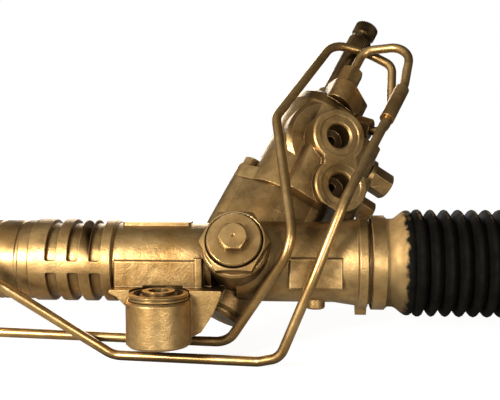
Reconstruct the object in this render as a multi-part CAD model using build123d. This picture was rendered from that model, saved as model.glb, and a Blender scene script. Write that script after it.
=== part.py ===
"""Hydraulic power steering rack: housing, rack, pinion, rotary valve, lines, boots and tie rods.

Frame, in millimetres: the origin is on the pinion-end mounting bolt, at the seat under its
sleeve.  +X runs along the rack towards the pinion-end tie rod, +Y goes from the mounting bolts
back to the rack, and +Z runs up the bolts.  The rack lies along X.
"""
from build123d import *
import math
import os

# ---------------------------------------------------------------- driving sizes: the layout
RACK_Y = 40.0               # rack axis behind the mounting bolts
RACK_Z = 48.0               # rack axis above the mounting seats
PINION_X = 46.0             # where the pinion crosses the rack
YOKE_RISE = 26.0            # degrees that the yoke points up
PINION_TILT = 25.0          # degrees that the pinion leans along the rack
TRAVEL = 70.0               # rack travel each way
LEFT_SEAT_X = -338.0        # far mounting bolt

RUNNING = 0.05              # radial clearance of parts that turn or slide in each other
EASY = 0.3                  # clearance of parts that only pass each other

# ---------------------------------------------------------------- rack and pinion teeth
RACK_RADIUS = 12.5
NORMAL_MODULE = 2.0
PINION_TEETH = 8
PRESSURE_ANGLE = 20.0
PROFILE_SHIFT = 0.45
ADDENDUM = 2.0
TOOTH_CREST = 9.0           # height of the rack's tooth tips above its axis
PINION_TIP_RADIUS = 11.3
BACKLASH = 0.16
ROOT_CLEARANCE = 0.4
PINION_FACE = 34.0
TEETH_BEYOND_TRAVEL = 14.0

# ---------------------------------------------------------------- rack bar, piston and bulkheads
CYLINDER_RADIUS = 26.0
CYLINDER_WALL = 2.8
CYLINDER_START_X = -87.5
INNER_BULKHEAD_X = -140.0   # chamber side of the bulkhead next to the pinion
BULKHEAD_LENGTH = 15.0
PISTON_LENGTH = 14.0
PISTON_REACH = 6.0          # room left beside the piston at full travel
PISTON_RING_WIDTH = 4.0
PISTON_RING_DEPTH = 2.0
SEAL_WIDTH = 6.0
SEAL_RADIUS = 17.5
CRIMP_XS = (-95.0, -110.0)
CRIMP_DEPTH = 0.5

# ---------------------------------------------------------------- housing around the rack
HOUSING_BORE = 15.0
COLLAR_RADIUS = 27.0
COLLAR_END_X = -32.5
GROOVE_XS = (-72.0, -57.8, -43.6)
GROOVE_WIDTH = 7.2
GROOVE_DEPTH = 3.0
PARTING_BAND = (-5.0, 2.4)  # heights of the plain band between the groove pockets
BODY_RADIUS = 24.7
BODY_END_X = 26.0
TUBE_RADIUS = 26.0
FLANGE_X = 128.8            # right end face of the housing flange
FLANGE_RADIUS = 30.0
FLANGE_WIDTH = 7.0
SPIGOT_RADIUS = 27.0
SPIGOT_LENGTH = 23.0
SPIGOT_BORE = 20.5
LEFT_SOCKET_RADIUS = 31.0
LEFT_SOCKET_LENGTH = 34.0

# ---------------------------------------------------------------- mounting bosses and bushes
BOSS_RADIUS = 20.0
BOSS_HEIGHT = 28.0
BOSS_LIFT = 1.5             # boss starts this far above the seat
BUSH_SHELL_RADIUS = 17.0
BUSH_SHELL_WALL = 1.5
BUSH_LIP_RADIUS = 18.6
BUSH_TOP = 33.5
SLEEVE_RADIUS = 10.0
SLEEVE_LENGTH = 35.0
BOLT_HOLE_RADIUS = 6.5
WEB_DROP = 13.5             # the webs under the rack stop this far below its axis

# ---------------------------------------------------------------- yoke
YOKE_RADIUS = 15.95
YOKE_BORE = 16.0
YOKE_START = 5.0
YOKE_END = 23.5
YOKE_BOSS_RADIUS = 21.5
YOKE_BOSS_END = 33.0
YOKE_LINER = 1.0
PLUG_RADIUS = 17.0
PLUG_START = 25.0
PLUG_FACE = 43.0
PLUG_NUB_FLATS = 16.0
PLUG_NUB_HEIGHT = 6.0
LOCKNUT_FLATS = 38.0
LOCKNUT_START = 33.2
LOCKNUT_HEIGHT = 7.6
SPRING_RADIUS = 6.5
SPRING_WIRE = 2.4
SPRING_TURNS = 3

# ---------------------------------------------------------------- pinion tower, along the pinion
TOWER_RADIUS = 22.0
TOWER_BOTTOM = -32.5
TOWER_TOP = 57.0
PILLAR_RADIUS = 8.5
PILLAR_REACH = 27.0
PILLAR_FORWARD = 3.0
PINION_BORE = 16.0
BEARING_OUTER = 16.0
BEARING_INNER = 6.5
BEARING_WIDTH = 9.0
BEARING_TOP = -18.0
BALL_COUNT = 9
CAP_RADIUS = 18.0
CAP_HEIGHT = 3.5
PINION_SHAFT_RADIUS = 10.0
UPPER_BUSH = (21.0, 33.0)
PINION_SEAL = (36.0, 43.0)
CUP_RADIUS = 13.2
CUP = (50.0, 68.0)

# ---------------------------------------------------------------- rotary valve and its housing
VALVE_BORE = 14.6
VALVE_SLEEVE_START = 68.0
VALVE_SLEEVE_LENGTH = 49.0
VALVE_SLEEVE_BORE = 9.4
FIRST_GROOVE = 7.0          # from the sleeve's lower end
LAST_GROOVE = 10.0          # from its upper end
SLEEVE_GROOVE_WIDTH = 5.0
SEAL_RING_WIDTH = 2.2
FIRST_RING = 1.286          # first seal ring's middle, from the sleeve's lower end
VALVE_BODY_RADIUS = 24.5
BODY_OVER_BEARING = 13.0
VALVE_FLANGE = 10.0
NECK_RADIUS = 10.5
NECK_WALL = 1.2             # round the input shaft's seal
NECK_BEAD = 0.7             # the bead round the neck's mouth stands out this far
NECK_LENGTH = 8.5
INPUT_RADIUS = 8.25
INPUT_REACH = 66.5          # shaft beyond the neck
SPOOL_RADIUS = 9.3
SPLINE_RADIUS = 8.9
SPLINE_TEETH = 36
SPLINE_DEPTH = 0.7
SPLINE_BACKS = (26.0, 14.0, 9.0)   # from the tip: lower serrations, groove, upper serrations
TORSION_PIN_RADIUS = 1.25
TORSION_RADIUS = 2.6
TORSION_BOTTOM = 2.0
TORSION_INSET = 36.0        # torsion bar's end below the shaft's tip
BEARING_ROOM = 1.5
UPPER_BEARING_WIDTH = 7.5
INPUT_SEAL_DEPTHS = (8.5, 3.5)   # the input seal's ends below the neck's mouth

SCREW_RADIUS = 4.0
SCREW_FLATS = 12.0
SCREW_HEAD = 5.5
SCREW_DEPTH = 17.0
O_RING_RADIUS = 18.0
O_RING_SIZE = 1.5

# ---------------------------------------------------------------- hose port block
PORT_ANGLE = 25.0           # degrees from the yoke direction towards the right
PORT_FACE = 40.0            # distance of the port faces from the pinion axis
PORT_HOLE_RADIUS = 8.2
PORT_SPOT_RADIUS = 14.2
PORT_RIM_RADIUS = 19.0
PORT_DEPTH = 15.0
UPPER_PORT = (104.5, 8.5)  # along the pinion, and offset sideways
LOWER_PORT = (74.6, 25.0)
BLOCK_RIGHT = 46.5
BLOCK_LEFT = -0.5           # left corner of the lower block
PORT_DRUM = (31.0, 23.0)    # radius and front of the round body behind the upper port
BLOCK_CORNER = 5.0
BLOCK_STEP = 3.5            # port rims stand this far out of the block
GALLERY_ANGLE = 28.0        # direction of the gallery boss round the pinion from the yoke side
GALLERY_REACH = 20.5
GALLERY_LOBE = (21.0, 86.0, 6.5)   # the rest of the gallery boss: reach, angle, radius
GALLERY_RISE = 11.0         # gallery boss above the valve body
SIDE_PORT_ANGLE = 80.0
SIDE_PORT_DROP = 9.0        # line port below the valve body's top
SIDE_PORT_REACH = 26.0
PLUGS = ((106.0, 8.0, 8.0), (81.0, 10.0, 6.0))             # along, outward, thread radius
PLUG_HEADS = ((17.0, 20.0, 12.0), (14.0, 16.0, 8.5))       # flats, height, collar radius

# ---------------------------------------------------------------- steel lines
PORT_BOSS_RADIUS = 8.0
PORT_INSET = 3.0            # line port centre beyond its bulkhead
NEAR_PORT_ANGLE = 165.0     # degrees round the rack from the back, upwards first
FAR_PORT_ANGLE = 270.0
NEAR_PORT_REACH = 36.0
FAR_PORT_REACH = 37.0
GALLERY_RADIUS = 1.8
LINE_RADIUS = 3.2
LINE_WALL = 0.8
NUT_FLATS = 14.0
NUT_LENGTH = 13.0
NUT_THREAD_RADIUS = 5.5
NUT_THREAD_LENGTH = 9.0
HOSE_SLEEVE_RADIUS = 4.9
LINE_SLEEVE = (5.0, 33.0)   # where the sleeve starts on its run, and its length
SLEEVED_RUN = 1
UPPER_LINE_STUBS = (19.0, 15.0)   # straight beyond each nut before the first and last corners
UPPER_LINE_CORNERS = ((164.5, 100.0, 195.5), (157.5, 82.0, 166.0), (113.1, 6.0, 90.4), (94.0, 2.0, 42.0),
                      (74.0, 8.0, -7.5), (60.1, 13.0, -11.5), (-35.2, 26.0, -12.4), (-102.5, 8.0, 35.8),
                      (-122.0, -18.0, 56.0))
UPPER_LINE_RADII = (10.0, 14.0, 20.0, 40.0, 60.0, 12.0, 12.0, 14.0, 20.0, 12.0, 10.0)
LOWER_LINE_STUBS = (10.0, 13.0)
LOWER_LINE_CORNERS = ((150.5, 100.0, 155.0), (151.8, 108.0, 182.1), (134.5, 118.0, 192.9), (109.2, 111.0, 198.8),
                      (69.4, 60.0, 143.2), (81.3, 4.0, 71.0), (77.9, 2.0, 56.6), (39.4, 32.0, -4.1),
                      (-150.0, 32.0, 1.0))
LOWER_LINE_RADII = (8.0, 12.0, 10.0, 24.0, 16.0, 14.0, 22.0, 22.0, 14.0, 80.0, 10.0)

# ---------------------------------------------------------------- tie rods and boots
WASHER_THICKNESS = 2.5
SOCKET_RADIUS = 19.0
SOCKET_BACK = 20.0          # ball centre to the socket's inner face
SOCKET_FRONT = 9.5
SOCKET_STUD_RADIUS = 8.0
SOCKET_STUD_LENGTH = 20.0
BALL_RADIUS = 13.5
SEAT_THICKNESS = 1.4
SEAT_OPENING = 7.0
ROD_NECK_RADIUS = 6.0
ROD_RADIUS = 7.5
ROD_LENGTH = 200.0
THREAD_RADIUS = 7.0
THREAD_LENGTH = 62.0
JAM_NUT_FLATS = 22.0
JAM_NUT_HEIGHT = 10.0
JAM_NUT_ROOM = 1.5
JAM_THREAD_RADIUS = 6.5     # half the pitch diameter, where rod and nut meet
JAM_NUT_BACK = 42.0         # from the rod's tip
STOP_GAP = 2.0
BOOT_WALL = 1.4
BOOT_COLLAR_RADIUS = 29.4
BOOT_COLLAR_LENGTH = 34.0   # collar, flare and the first shallow fold
BOOT_CREST = 34.5
BOOT_VALLEY = 29.0
BOOT_PITCH = 8.8
BOOT_FOLDS = 19
BOOT_TAPER_FOLDS = 6
BOOT_SMALL_RADIUS = 9.5
BOOT_SMALL_LENGTH = 9.0
BOOT_GAP = 2.4              # bare spigot between the flange and the boot
CLAMP_WIDTH = 8.1
CLAMP_RADIUS = 30.5
SMALL_CLAMP_WIDTH = 6.0
BOOT_SEAT_RADIUS = 7.0      # tie rod under the boot's small collar
BOOT_SLIP = 0.1             # radial room between boot, tie rod and small clamp
EAR_ANGLE = 320.0

# ---------------------------------------------------------------- worked out from the sizes above
COS_TILT = math.cos(math.radians(PINION_TILT))
SIN_TILT = math.sin(math.radians(PINION_TILT))
COS_RISE = math.cos(math.radians(YOKE_RISE))
SIN_RISE = math.sin(math.radians(YOKE_RISE))
PITCH_RADIUS = PINION_TEETH * NORMAL_MODULE / (2 * COS_TILT)
RACK_PITCH = math.pi * NORMAL_MODULE
MESH_LINE = PITCH_RADIUS + PROFILE_SHIFT * NORMAL_MODULE
CENTRE_DISTANCE = TOOTH_CREST + MESH_LINE - ADDENDUM
TOOTH_ROOT = CENTRE_DISTANCE - PINION_TIP_RADIUS - ROOT_CLEARANCE

TUBE_BORE = CYLINDER_RADIUS - CYLINDER_WALL
PISTON_X = INNER_BULKHEAD_X - PISTON_REACH - TRAVEL - PISTON_LENGTH / 2
OUTER_BULKHEAD_X = PISTON_X - PISTON_LENGTH / 2 - TRAVEL - PISTON_REACH
CYLINDER_END_X = OUTER_BULKHEAD_X - BULKHEAD_LENGTH - 2
LEFT_SOCKET_X = CYLINDER_END_X + LEFT_SOCKET_LENGTH
LEFT_FLANGE_X = LEFT_SEAT_X - 30.0
SPIGOT_END_X = FLANGE_X + SPIGOT_LENGTH
LEFT_SPIGOT_END_X = LEFT_FLANGE_X - SPIGOT_LENGTH
SOCKET_FACE_X = SPIGOT_END_X + TRAVEL + STOP_GAP
LEFT_SOCKET_FACE_X = LEFT_SPIGOT_END_X - TRAVEL - STOP_GAP
BALL_X = SOCKET_FACE_X + SOCKET_BACK
LEFT_BALL_X = LEFT_SOCKET_FACE_X - SOCKET_BACK
SEAT_RADIUS = BALL_RADIUS + RUNNING + SEAT_THICKNESS
BOOT_START = BOOT_GAP - SPIGOT_LENGTH - TRAVEL - STOP_GAP - SOCKET_BACK   # from the ball centre
BOOT_END = BOOT_START + BOOT_COLLAR_LENGTH + BOOT_FOLDS * BOOT_PITCH + BOOT_SMALL_LENGTH

SLEEVE_SPAN = (VALVE_SLEEVE_START, VALVE_SLEEVE_START + VALVE_SLEEVE_LENGTH)
GROOVE_SPACING = (VALVE_SLEEVE_LENGTH - FIRST_GROOVE - LAST_GROOVE) / 2
SLEEVE_GROOVES = [VALVE_SLEEVE_START + FIRST_GROOVE + GROOVE_SPACING * i for i in range(3)]
UPPER_BEARING = (SLEEVE_SPAN[1] + BEARING_ROOM, SLEEVE_SPAN[1] + BEARING_ROOM + UPPER_BEARING_WIDTH)
VALVE_BORE_END = UPPER_BEARING[1]
VALVE_BODY_TOP = VALVE_BORE_END + BODY_OVER_BEARING
NECK_TOP = VALVE_BODY_TOP + NECK_LENGTH
INPUT_SEAL = [NECK_TOP - depth for depth in INPUT_SEAL_DEPTHS]
INPUT_TIP = NECK_TOP + INPUT_REACH
SPLINE_STATIONS = [INPUT_TIP - back for back in SPLINE_BACKS]
TORSION_TOP = INPUT_TIP - TORSION_INSET
GALLERY_TOP = VALVE_BODY_TOP + GALLERY_RISE
SIDE_PORT_ALONG = VALVE_BODY_TOP - SIDE_PORT_DROP
JAM_NUT_AT = ROD_LENGTH - JAM_NUT_BACK

UP = (Align.CENTER, Align.CENTER, Align.MIN)
YOKE_DIRECTION = Vector(0, -COS_RISE, SIN_RISE)
PINION_DIRECTION = Vector(SIN_TILT, COS_TILT * SIN_RISE, COS_TILT * COS_RISE)
RACK_CENTRE = Vector(PINION_X, RACK_Y, RACK_Z)
PINION_CENTRE = RACK_CENTRE - YOKE_DIRECTION * CENTRE_DISTANCE

# Working planes.  Each one's Z runs along the axis it is named after.
RACK = Plane(origin=(0, RACK_Y, RACK_Z), x_dir=(0, 1, 0), z_dir=(1, 0, 0))
YOKE = Plane(origin=RACK_CENTRE, x_dir=(1, 0, 0), z_dir=YOKE_DIRECTION)
PINION = Plane(origin=PINION_CENTRE, x_dir=YOKE_DIRECTION, z_dir=PINION_DIRECTION)
BOLT = Plane.XY
LEFT_BOLT = Plane(origin=(LEFT_SEAT_X, 0, 0))
RIGHT_END = Plane(origin=(BALL_X, RACK_Y, RACK_Z), x_dir=(0, 1, 0), z_dir=(1, 0, 0))
LEFT_END = Plane(origin=(LEFT_BALL_X, RACK_Y, RACK_Z), x_dir=(0, 1, 0), z_dir=(-1, 0, 0))


# ---------------------------------------------------------------- small shapes
def disc(plane, start, end, radius):
    """A solid cylinder on a plane's Z, from start to end."""
    return plane.offset(start) * Cylinder(radius, end - start, align=UP)


def ring(plane, start, end, outer, inner):
    """A hollow cylinder on a plane's Z."""
    return disc(plane, start, end, outer) - disc(plane, start, end, inner)


def hexagon(plane, start, end, flats):
    """A hexagonal prism, given by its size across the flats."""
    sketch = RegularPolygon(flats / 2, 6, major_radius=False)
    return plane.offset(start) * extrude(sketch, end - start)


def turned(plane, outline):
    """A solid of revolution on a plane's Z, from points (along, radius)."""
    points = [(radius, 0, along) for along, radius in outline]
    face = make_face(Polyline(*points, close=True))
    return plane * revolve(face, Axis.Z)


def chamfered_hex(plane, start, end, flats):
    """A hexagon whose top corners are turned off at 30 degrees."""
    body = hexagon(plane, start, end, flats)
    corner = flats / math.sqrt(3)
    drop = (corner - flats / 2) * 0.7
    turning = turned(plane, [(start, 0), (start, corner + 1), (end - drop, corner + 0.01),
                             (end, flats / 2 - 0.2), (end, 0)])
    return body & turning


def moved(plane, x, y, z=0.0):
    """The same plane with its origin moved along its own axes."""
    return Plane(origin=plane.from_local_coords(Vector(x, y, z)), x_dir=plane.x_dir, z_dir=plane.z_dir)


def turned_about(plane, degrees):
    """The same plane turned about its own Z."""
    return plane * Rot(0, 0, degrees) * Plane.XY


def aimed(plane, degrees, along, reach=0.0, side=0.0):
    """A plane square to a direction that leaves plane's Z axis at an angle round from its X."""
    angle = math.radians(degrees)
    out = plane.x_dir * math.cos(angle) + plane.y_dir * math.sin(angle)
    across = plane.y_dir * math.cos(angle) - plane.x_dir * math.sin(angle)
    origin = plane.origin + plane.z_dir * along + out * reach + across * side
    return Plane(origin=origin, x_dir=across, z_dir=out)


def hull_prism(plane, start, end, circles):
    """A prism whose outline is the tightest loop round circles (x, y, radius)."""
    edges = ShapeList()
    for x, y, radius in circles:
        edges += (Pos(x, y) * Circle(radius)).edges()
    return plane.offset(start) * extrude(make_hull(edges), end - start)


def joined(shapes):
    """Solids fused into one."""
    shapes = list(shapes)
    return shapes[0].fuse(*shapes[1:]) if len(shapes) > 1 else shapes[0]


def grouped(shapes):
    """Separate solids kept side by side in one node."""
    return Compound(children=[solid for shape in shapes for solid in shape.solids()])


# ---------------------------------------------------------------- rack housing
def collar():
    """The grooved collar that grips the cylinder, with its spigot."""
    spigot_end = CYLINDER_START_X - 33.0
    body = turned(RACK, [(CYLINDER_START_X, 0), (CYLINDER_START_X, COLLAR_RADIUS - 0.8),
                         (CYLINDER_START_X + 0.8, COLLAR_RADIUS), (COLLAR_END_X - 1.5, COLLAR_RADIUS),
                         (COLLAR_END_X, COLLAR_RADIUS - 1.5), (COLLAR_END_X, 0)])
    body += disc(RACK, spigot_end, CYLINDER_START_X, TUBE_BORE)
    for crimp_x in CRIMP_XS:
        body -= crimp_ring(crimp_x, TUBE_BORE)
    for groove_x in GROOVE_XS:
        body -= groove_pockets(groove_x)
    return body


def crimp_ring(crimp_x, radius):
    """The shallow ring that a roll crimp presses into a surface of this radius."""
    return turned(RACK, [(crimp_x - 1.5, radius + 1), (crimp_x - 1.5, radius),
                         (crimp_x - 0.5, radius - CRIMP_DEPTH), (crimp_x + 0.5, radius - CRIMP_DEPTH),
                         (crimp_x + 1.5, radius), (crimp_x + 1.5, radius + 1)])


def groove_pockets(groove_x):
    """One groove: a pocket above the parting band and one below it, front and back."""
    half = GROOVE_WIDTH / 2
    floor = COLLAR_RADIUS - GROOVE_DEPTH
    groove = turned(RACK, [(groove_x - half + 0.7, floor), (groove_x + half - 0.7, floor),
                           (groove_x + half + 0.4, COLLAR_RADIUS + 1), (groove_x - half - 0.4, COLLAR_RADIUS + 1)])
    bottom, top = PARTING_BAND
    tall = COLLAR_RADIUS * 2
    windows = [pocket_window(groove_x, top, tall), pocket_window(groove_x, bottom - tall, tall)]
    return groove & joined(windows)


def pocket_window(groove_x, low, height):
    """A round-cornered block right through the collar, which bounds a groove pocket."""
    corner = GROOVE_WIDTH / 3
    wide = GROOVE_WIDTH + 1.2
    front = Plane(origin=(groove_x, RACK_Y, RACK_Z + low + height / 2), x_dir=(1, 0, 0), z_dir=(0, -1, 0))
    sketch = RectangleRounded(wide, height, corner)
    return front * extrude(sketch, COLLAR_RADIUS * 2, both=True)


def middle_body():
    """The body between the collar and the yoke: round, with a top rib and a flat front pad."""
    length = BODY_END_X - COLLAR_END_X
    middle = (BODY_END_X + COLLAR_END_X) / 2
    round_part = disc(RACK, COLLAR_END_X, BODY_END_X + 4, BODY_RADIUS)
    rib = Pos(middle - 4, RACK_Y, RACK_Z + BODY_RADIUS - 1) * Box(length - 14, 15, 4.4)
    rib = fillet(rib.edges().filter_by(Axis.Z), 2)
    pad_top = 3.4
    pad_height = 18.0
    pad_depth = 24.0
    pad_front = BODY_RADIUS + 1.6
    pad = Box(length - 2, pad_depth, pad_height)
    pad = fillet(pad.edges().filter_by(Axis.Z) + pad.edges().filter_by(Axis.X), 1.4)
    pad = Pos(middle, RACK_Y - pad_front + pad_depth / 2, RACK_Z + pad_top - pad_height / 2) * pad
    frame_width = 6.0
    frame = Box(frame_width, pad_depth, pad_height + 4)
    frame = fillet(frame.edges().filter_by(Axis.Z), 1.8)
    frame = Pos(BODY_END_X - frame_width / 2 - 0.5, RACK_Y - pad_front - 1.2 + pad_depth / 2,
                RACK_Z + pad_top - pad_height / 2 - 0.6) * frame
    return joined([round_part, rib, pad, frame])


def yoke_boss():
    """The boss that holds the yoke, square to the rack and leaning up."""
    return turned(YOKE, [(0, 0), (0, YOKE_BOSS_RADIUS), (YOKE_BOSS_END - 1.5, YOKE_BOSS_RADIUS),
                         (YOKE_BOSS_END, YOKE_BOSS_RADIUS - 1.5), (YOKE_BOSS_END, 0)])


def right_tube():
    """The right tube, its cone, flange and the spigot that the boot fits over."""
    cone_start = FLANGE_X - 21.0
    flange_start = FLANGE_X - FLANGE_WIDTH
    tube = turned(RACK, [(PINION_X, 0), (PINION_X, TUBE_RADIUS), (cone_start, TUBE_RADIUS),
                         (flange_start, FLANGE_RADIUS - 2), (flange_start + 1.5, FLANGE_RADIUS),
                         (FLANGE_X - 0.8, FLANGE_RADIUS), (FLANGE_X, FLANGE_RADIUS - 0.8),
                         (FLANGE_X, SPIGOT_RADIUS), (SPIGOT_END_X - 1, SPIGOT_RADIUS),
                         (SPIGOT_END_X, SPIGOT_RADIUS - 1), (SPIGOT_END_X, 0)])
    lug_reach = FLANGE_RADIUS + 4.5
    lug = hull_prism(RACK, flange_start, FLANGE_X, [(0, -lug_reach + 5, 5), (-9, -14, 5), (9, -14, 5)])
    foot = disc(moved(BOLT, PINION_X + 50, RACK_Y - 6), RACK_Z - TUBE_RADIUS - 3.5, RACK_Z - 10, 6.2)
    foot = fillet(foot.edges().group_by(Axis.Z)[0], 1.5)
    pad_top = 6.0
    pad = Box(34, 22, 20)
    pad = fillet(pad.edges().filter_by(Axis.X) + pad.edges().filter_by(Axis.Z), 1.4)
    pad = Pos(PINION_X + 50, RACK_Y - TUBE_RADIUS - 1.2 + 11, RACK_Z + pad_top - 10) * pad
    return joined([tube, lug, foot, pad])


def tower():
    """The pinion tower with a screw pillar each side."""
    upper = hull_prism(PINION, 4, TOWER_TOP, [(0, 0, TOWER_RADIUS)]
                       + [(x, y, PILLAR_RADIUS - 1.2) for x, y in pillar_places()])
    posts = [disc(moved(PINION, x, y), -6, TOWER_TOP, PILLAR_RADIUS) for x, y in pillar_places()]
    lower = turned(PINION, [(TOWER_BOTTOM, 0), (TOWER_BOTTOM, TOWER_RADIUS - 4),
                            (TOWER_BOTTOM + 2, TOWER_RADIUS - 2), (0, TOWER_RADIUS - 1), (8, TOWER_RADIUS - 1),
                            (8, 0)])
    return joined([upper, lower] + posts)


def boss_web():
    """The casting that carries the mounting boss below the rack."""
    base = BOSS_LIFT + 1.5
    top = RACK_Z - WEB_DROP
    points = [(-36, top), (-27, top - 4), (-20, top - 11), (-18, base), (15, base),
              (26, base + 6), (33, base + 17), (39, top)]
    front = Plane(origin=(0, 2, 0), x_dir=(1, 0, 0), z_dir=(0, -1, 0))
    sketch = make_face(Polyline(*points, close=True))
    sketch = fillet(sketch.vertices(), 1.2)
    return front * extrude(sketch, -(RACK_Y - 4))


def mounting_boss(plane):
    """The boss round one mounting bush."""
    top = BOSS_LIFT + BOSS_HEIGHT
    return turned(plane, [(BOSS_LIFT, 0), (BOSS_LIFT, BOSS_RADIUS - 1.5), (BOSS_LIFT + 1.5, BOSS_RADIUS),
                          (top - 1.5, BOSS_RADIUS), (top, BOSS_RADIUS - 1.2), (top, 0)])


def bush_bore(plane):
    """The hole that the bush is pressed into, and the room its lip needs above the boss."""
    top = BOSS_LIFT + BOSS_HEIGHT
    return (disc(plane, BOSS_LIFT - 1, top + 1, BUSH_SHELL_RADIUS)
            + disc(plane, top, SLEEVE_LENGTH + 0.5, BUSH_LIP_RADIUS + EASY))


def rack_housing():
    body = joined([collar(), middle_body(), yoke_boss(), right_tube(), tower(), boss_web(),
                   mounting_boss(BOLT)])
    body -= bush_bore(BOLT)
    body -= disc(PINION, TOWER_BOTTOM - CAP_HEIGHT - 6, TOWER_BOTTOM, CAP_RADIUS)
    body -= disc(YOKE, LOCKNUT_START - 0.2, PLUG_FACE, LOCKNUT_FLATS / math.sqrt(3) + EASY)
    body -= disc(RACK, CYLINDER_START_X - 40, FLANGE_X + 40, HOUSING_BORE)
    body -= disc(RACK, SPIGOT_END_X - SPIGOT_LENGTH + 3, SPIGOT_END_X + 1, SPIGOT_BORE)
    body -= disc(YOKE, 0, YOKE_END + 0.5, YOKE_BORE)
    body -= disc(YOKE, YOKE_END + 0.5, YOKE_BOSS_END + 1, PLUG_RADIUS)
    body -= disc(PINION, TOWER_BOTTOM - 1, TOWER_TOP + 1, PINION_BORE)
    for x, y in pillar_places():
        body -= disc(moved(PINION, x, y), TOWER_TOP - SCREW_DEPTH, TOWER_TOP + 1, SCREW_RADIUS)
    return body - housing_o_ring()


def pillar_places():
    return [(PILLAR_FORWARD, -PILLAR_REACH), (PILLAR_FORWARD, PILLAR_REACH)]


# ---------------------------------------------------------------- left end and cylinder
def left_end_housing():
    """The far casting: grips the cylinder, carries the second bush and the left boot."""
    start = LEFT_SOCKET_X
    neck = CYLINDER_END_X - 7
    body = turned(RACK, [(start, 0), (start, LEFT_SOCKET_RADIUS - 1.5), (start - 1.5, LEFT_SOCKET_RADIUS),
                         (neck + 4, LEFT_SOCKET_RADIUS), (neck, TUBE_RADIUS),
                         (LEFT_FLANGE_X + FLANGE_WIDTH + 3, TUBE_RADIUS),
                         (LEFT_FLANGE_X + FLANGE_WIDTH, FLANGE_RADIUS),
                         (LEFT_FLANGE_X + 0.8, FLANGE_RADIUS), (LEFT_FLANGE_X, FLANGE_RADIUS - 0.8),
                         (LEFT_FLANGE_X, SPIGOT_RADIUS), (LEFT_SPIGOT_END_X + 1, SPIGOT_RADIUS),
                         (LEFT_SPIGOT_END_X, SPIGOT_RADIUS - 1), (LEFT_SPIGOT_END_X, 0)])
    boss = mounting_boss(LEFT_BOLT)
    body = joined([body, boss, left_web(), disc(far_port(), 20, FAR_PORT_REACH, PORT_BOSS_RADIUS)])
    body -= bush_bore(LEFT_BOLT)
    body -= disc(RACK, LEFT_SPIGOT_END_X - 1, LEFT_SOCKET_X + 1, HOUSING_BORE)
    body -= disc(RACK, CYLINDER_END_X, LEFT_SOCKET_X + 1, CYLINDER_RADIUS)
    body -= disc(RACK, LEFT_SPIGOT_END_X - 1, LEFT_FLANGE_X - 3, SPIGOT_BORE)
    body -= port_thread(far_port(), FAR_PORT_REACH)
    body -= disc(far_port(), 0, FAR_PORT_REACH, GALLERY_RADIUS)
    return body


def left_web():
    """The casting that carries the far boss below the rack."""
    base = BOSS_LIFT + 1.5
    top = RACK_Z - WEB_DROP
    points = [(-24, top), (-16, base), (16, base), (22, top)]
    front = Plane(origin=(LEFT_SEAT_X, 2, 0), x_dir=(1, 0, 0), z_dir=(0, -1, 0))
    sketch = make_face(Polyline(*points, close=True))
    sketch = fillet(sketch.vertices(), 2.5)
    return front * extrude(sketch, -(RACK_Y - 4))


def near_port():
    """The plane of the line port next to the inner bulkhead, its Z pointing out."""
    return aimed(RACK, NEAR_PORT_ANGLE, INNER_BULKHEAD_X - PORT_INSET)


def far_port():
    """The plane of the line port next to the outer bulkhead, its Z pointing out."""
    return aimed(RACK, FAR_PORT_ANGLE, OUTER_BULKHEAD_X + PORT_INSET)


def port_thread(plane, reach):
    """The threaded hole for a tube nut, in a boss that ends at reach."""
    return disc(plane, reach - NUT_THREAD_LENGTH, reach + 1, NUT_THREAD_RADIUS)


def cylinder_tube():
    tube = ring(RACK, CYLINDER_END_X, CYLINDER_START_X, CYLINDER_RADIUS, TUBE_BORE)
    for crimp_x in CRIMP_XS:
        tube -= crimp_ring(crimp_x, CYLINDER_RADIUS)
        tube += crimp_ring(crimp_x, TUBE_BORE)
    tube += disc(near_port(), CYLINDER_RADIUS - 1.5, NEAR_PORT_REACH, PORT_BOSS_RADIUS)
    tube -= disc(RACK, CYLINDER_END_X, CYLINDER_START_X - 34, TUBE_BORE)
    tube -= port_thread(near_port(), NEAR_PORT_REACH)
    for plane in (near_port(), far_port()):
        tube -= disc(plane, 0, CYLINDER_RADIUS + 2, GALLERY_RADIUS)
    return tube


def bulkhead(chamber_x, inward):
    """A bulkhead whose seal faces the chamber; inward is +1 or -1 along X, away from the chamber."""
    outer_x = chamber_x + inward * BULKHEAD_LENGTH
    seal_x = chamber_x + inward * (SEAL_WIDTH + 0.5)
    body = ring(RACK, min(chamber_x, outer_x), max(chamber_x, outer_x), TUBE_BORE, RACK_RADIUS + EASY)
    body -= disc(RACK, min(chamber_x, seal_x), max(chamber_x, seal_x), SEAL_RADIUS)
    return body - bulkhead_o_ring(chamber_x, inward)


def bulkhead_o_ring(chamber_x, inward):
    middle = chamber_x + inward * BULKHEAD_LENGTH * 0.65
    return ring(RACK, middle - O_RING_SIZE, middle + O_RING_SIZE, TUBE_BORE, TUBE_BORE - 2 * O_RING_SIZE)


def rack_seal(chamber_x, inward):
    """The lip seal in one bulkhead."""
    back_x = chamber_x + inward * (SEAL_WIDTH + 0.5)
    front_x = chamber_x + inward * 0.5
    outline = [(front_x, RACK_RADIUS + 2.2), (back_x, RACK_RADIUS + 0.8), (back_x, SEAL_RADIUS),
               (front_x, SEAL_RADIUS), (front_x, RACK_RADIUS + 3.4),
               (front_x + inward * 3, RACK_RADIUS + 2.4), (front_x + inward * 1.2, RACK_RADIUS + RUNNING),
               (front_x + inward * 0.4, RACK_RADIUS + RUNNING)]
    return turned(RACK, outline)


def left_rack_bush():
    end = LEFT_FLANGE_X + 10
    return ring(RACK, end, end + 14, HOUSING_BORE, RACK_RADIUS + RUNNING)


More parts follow.
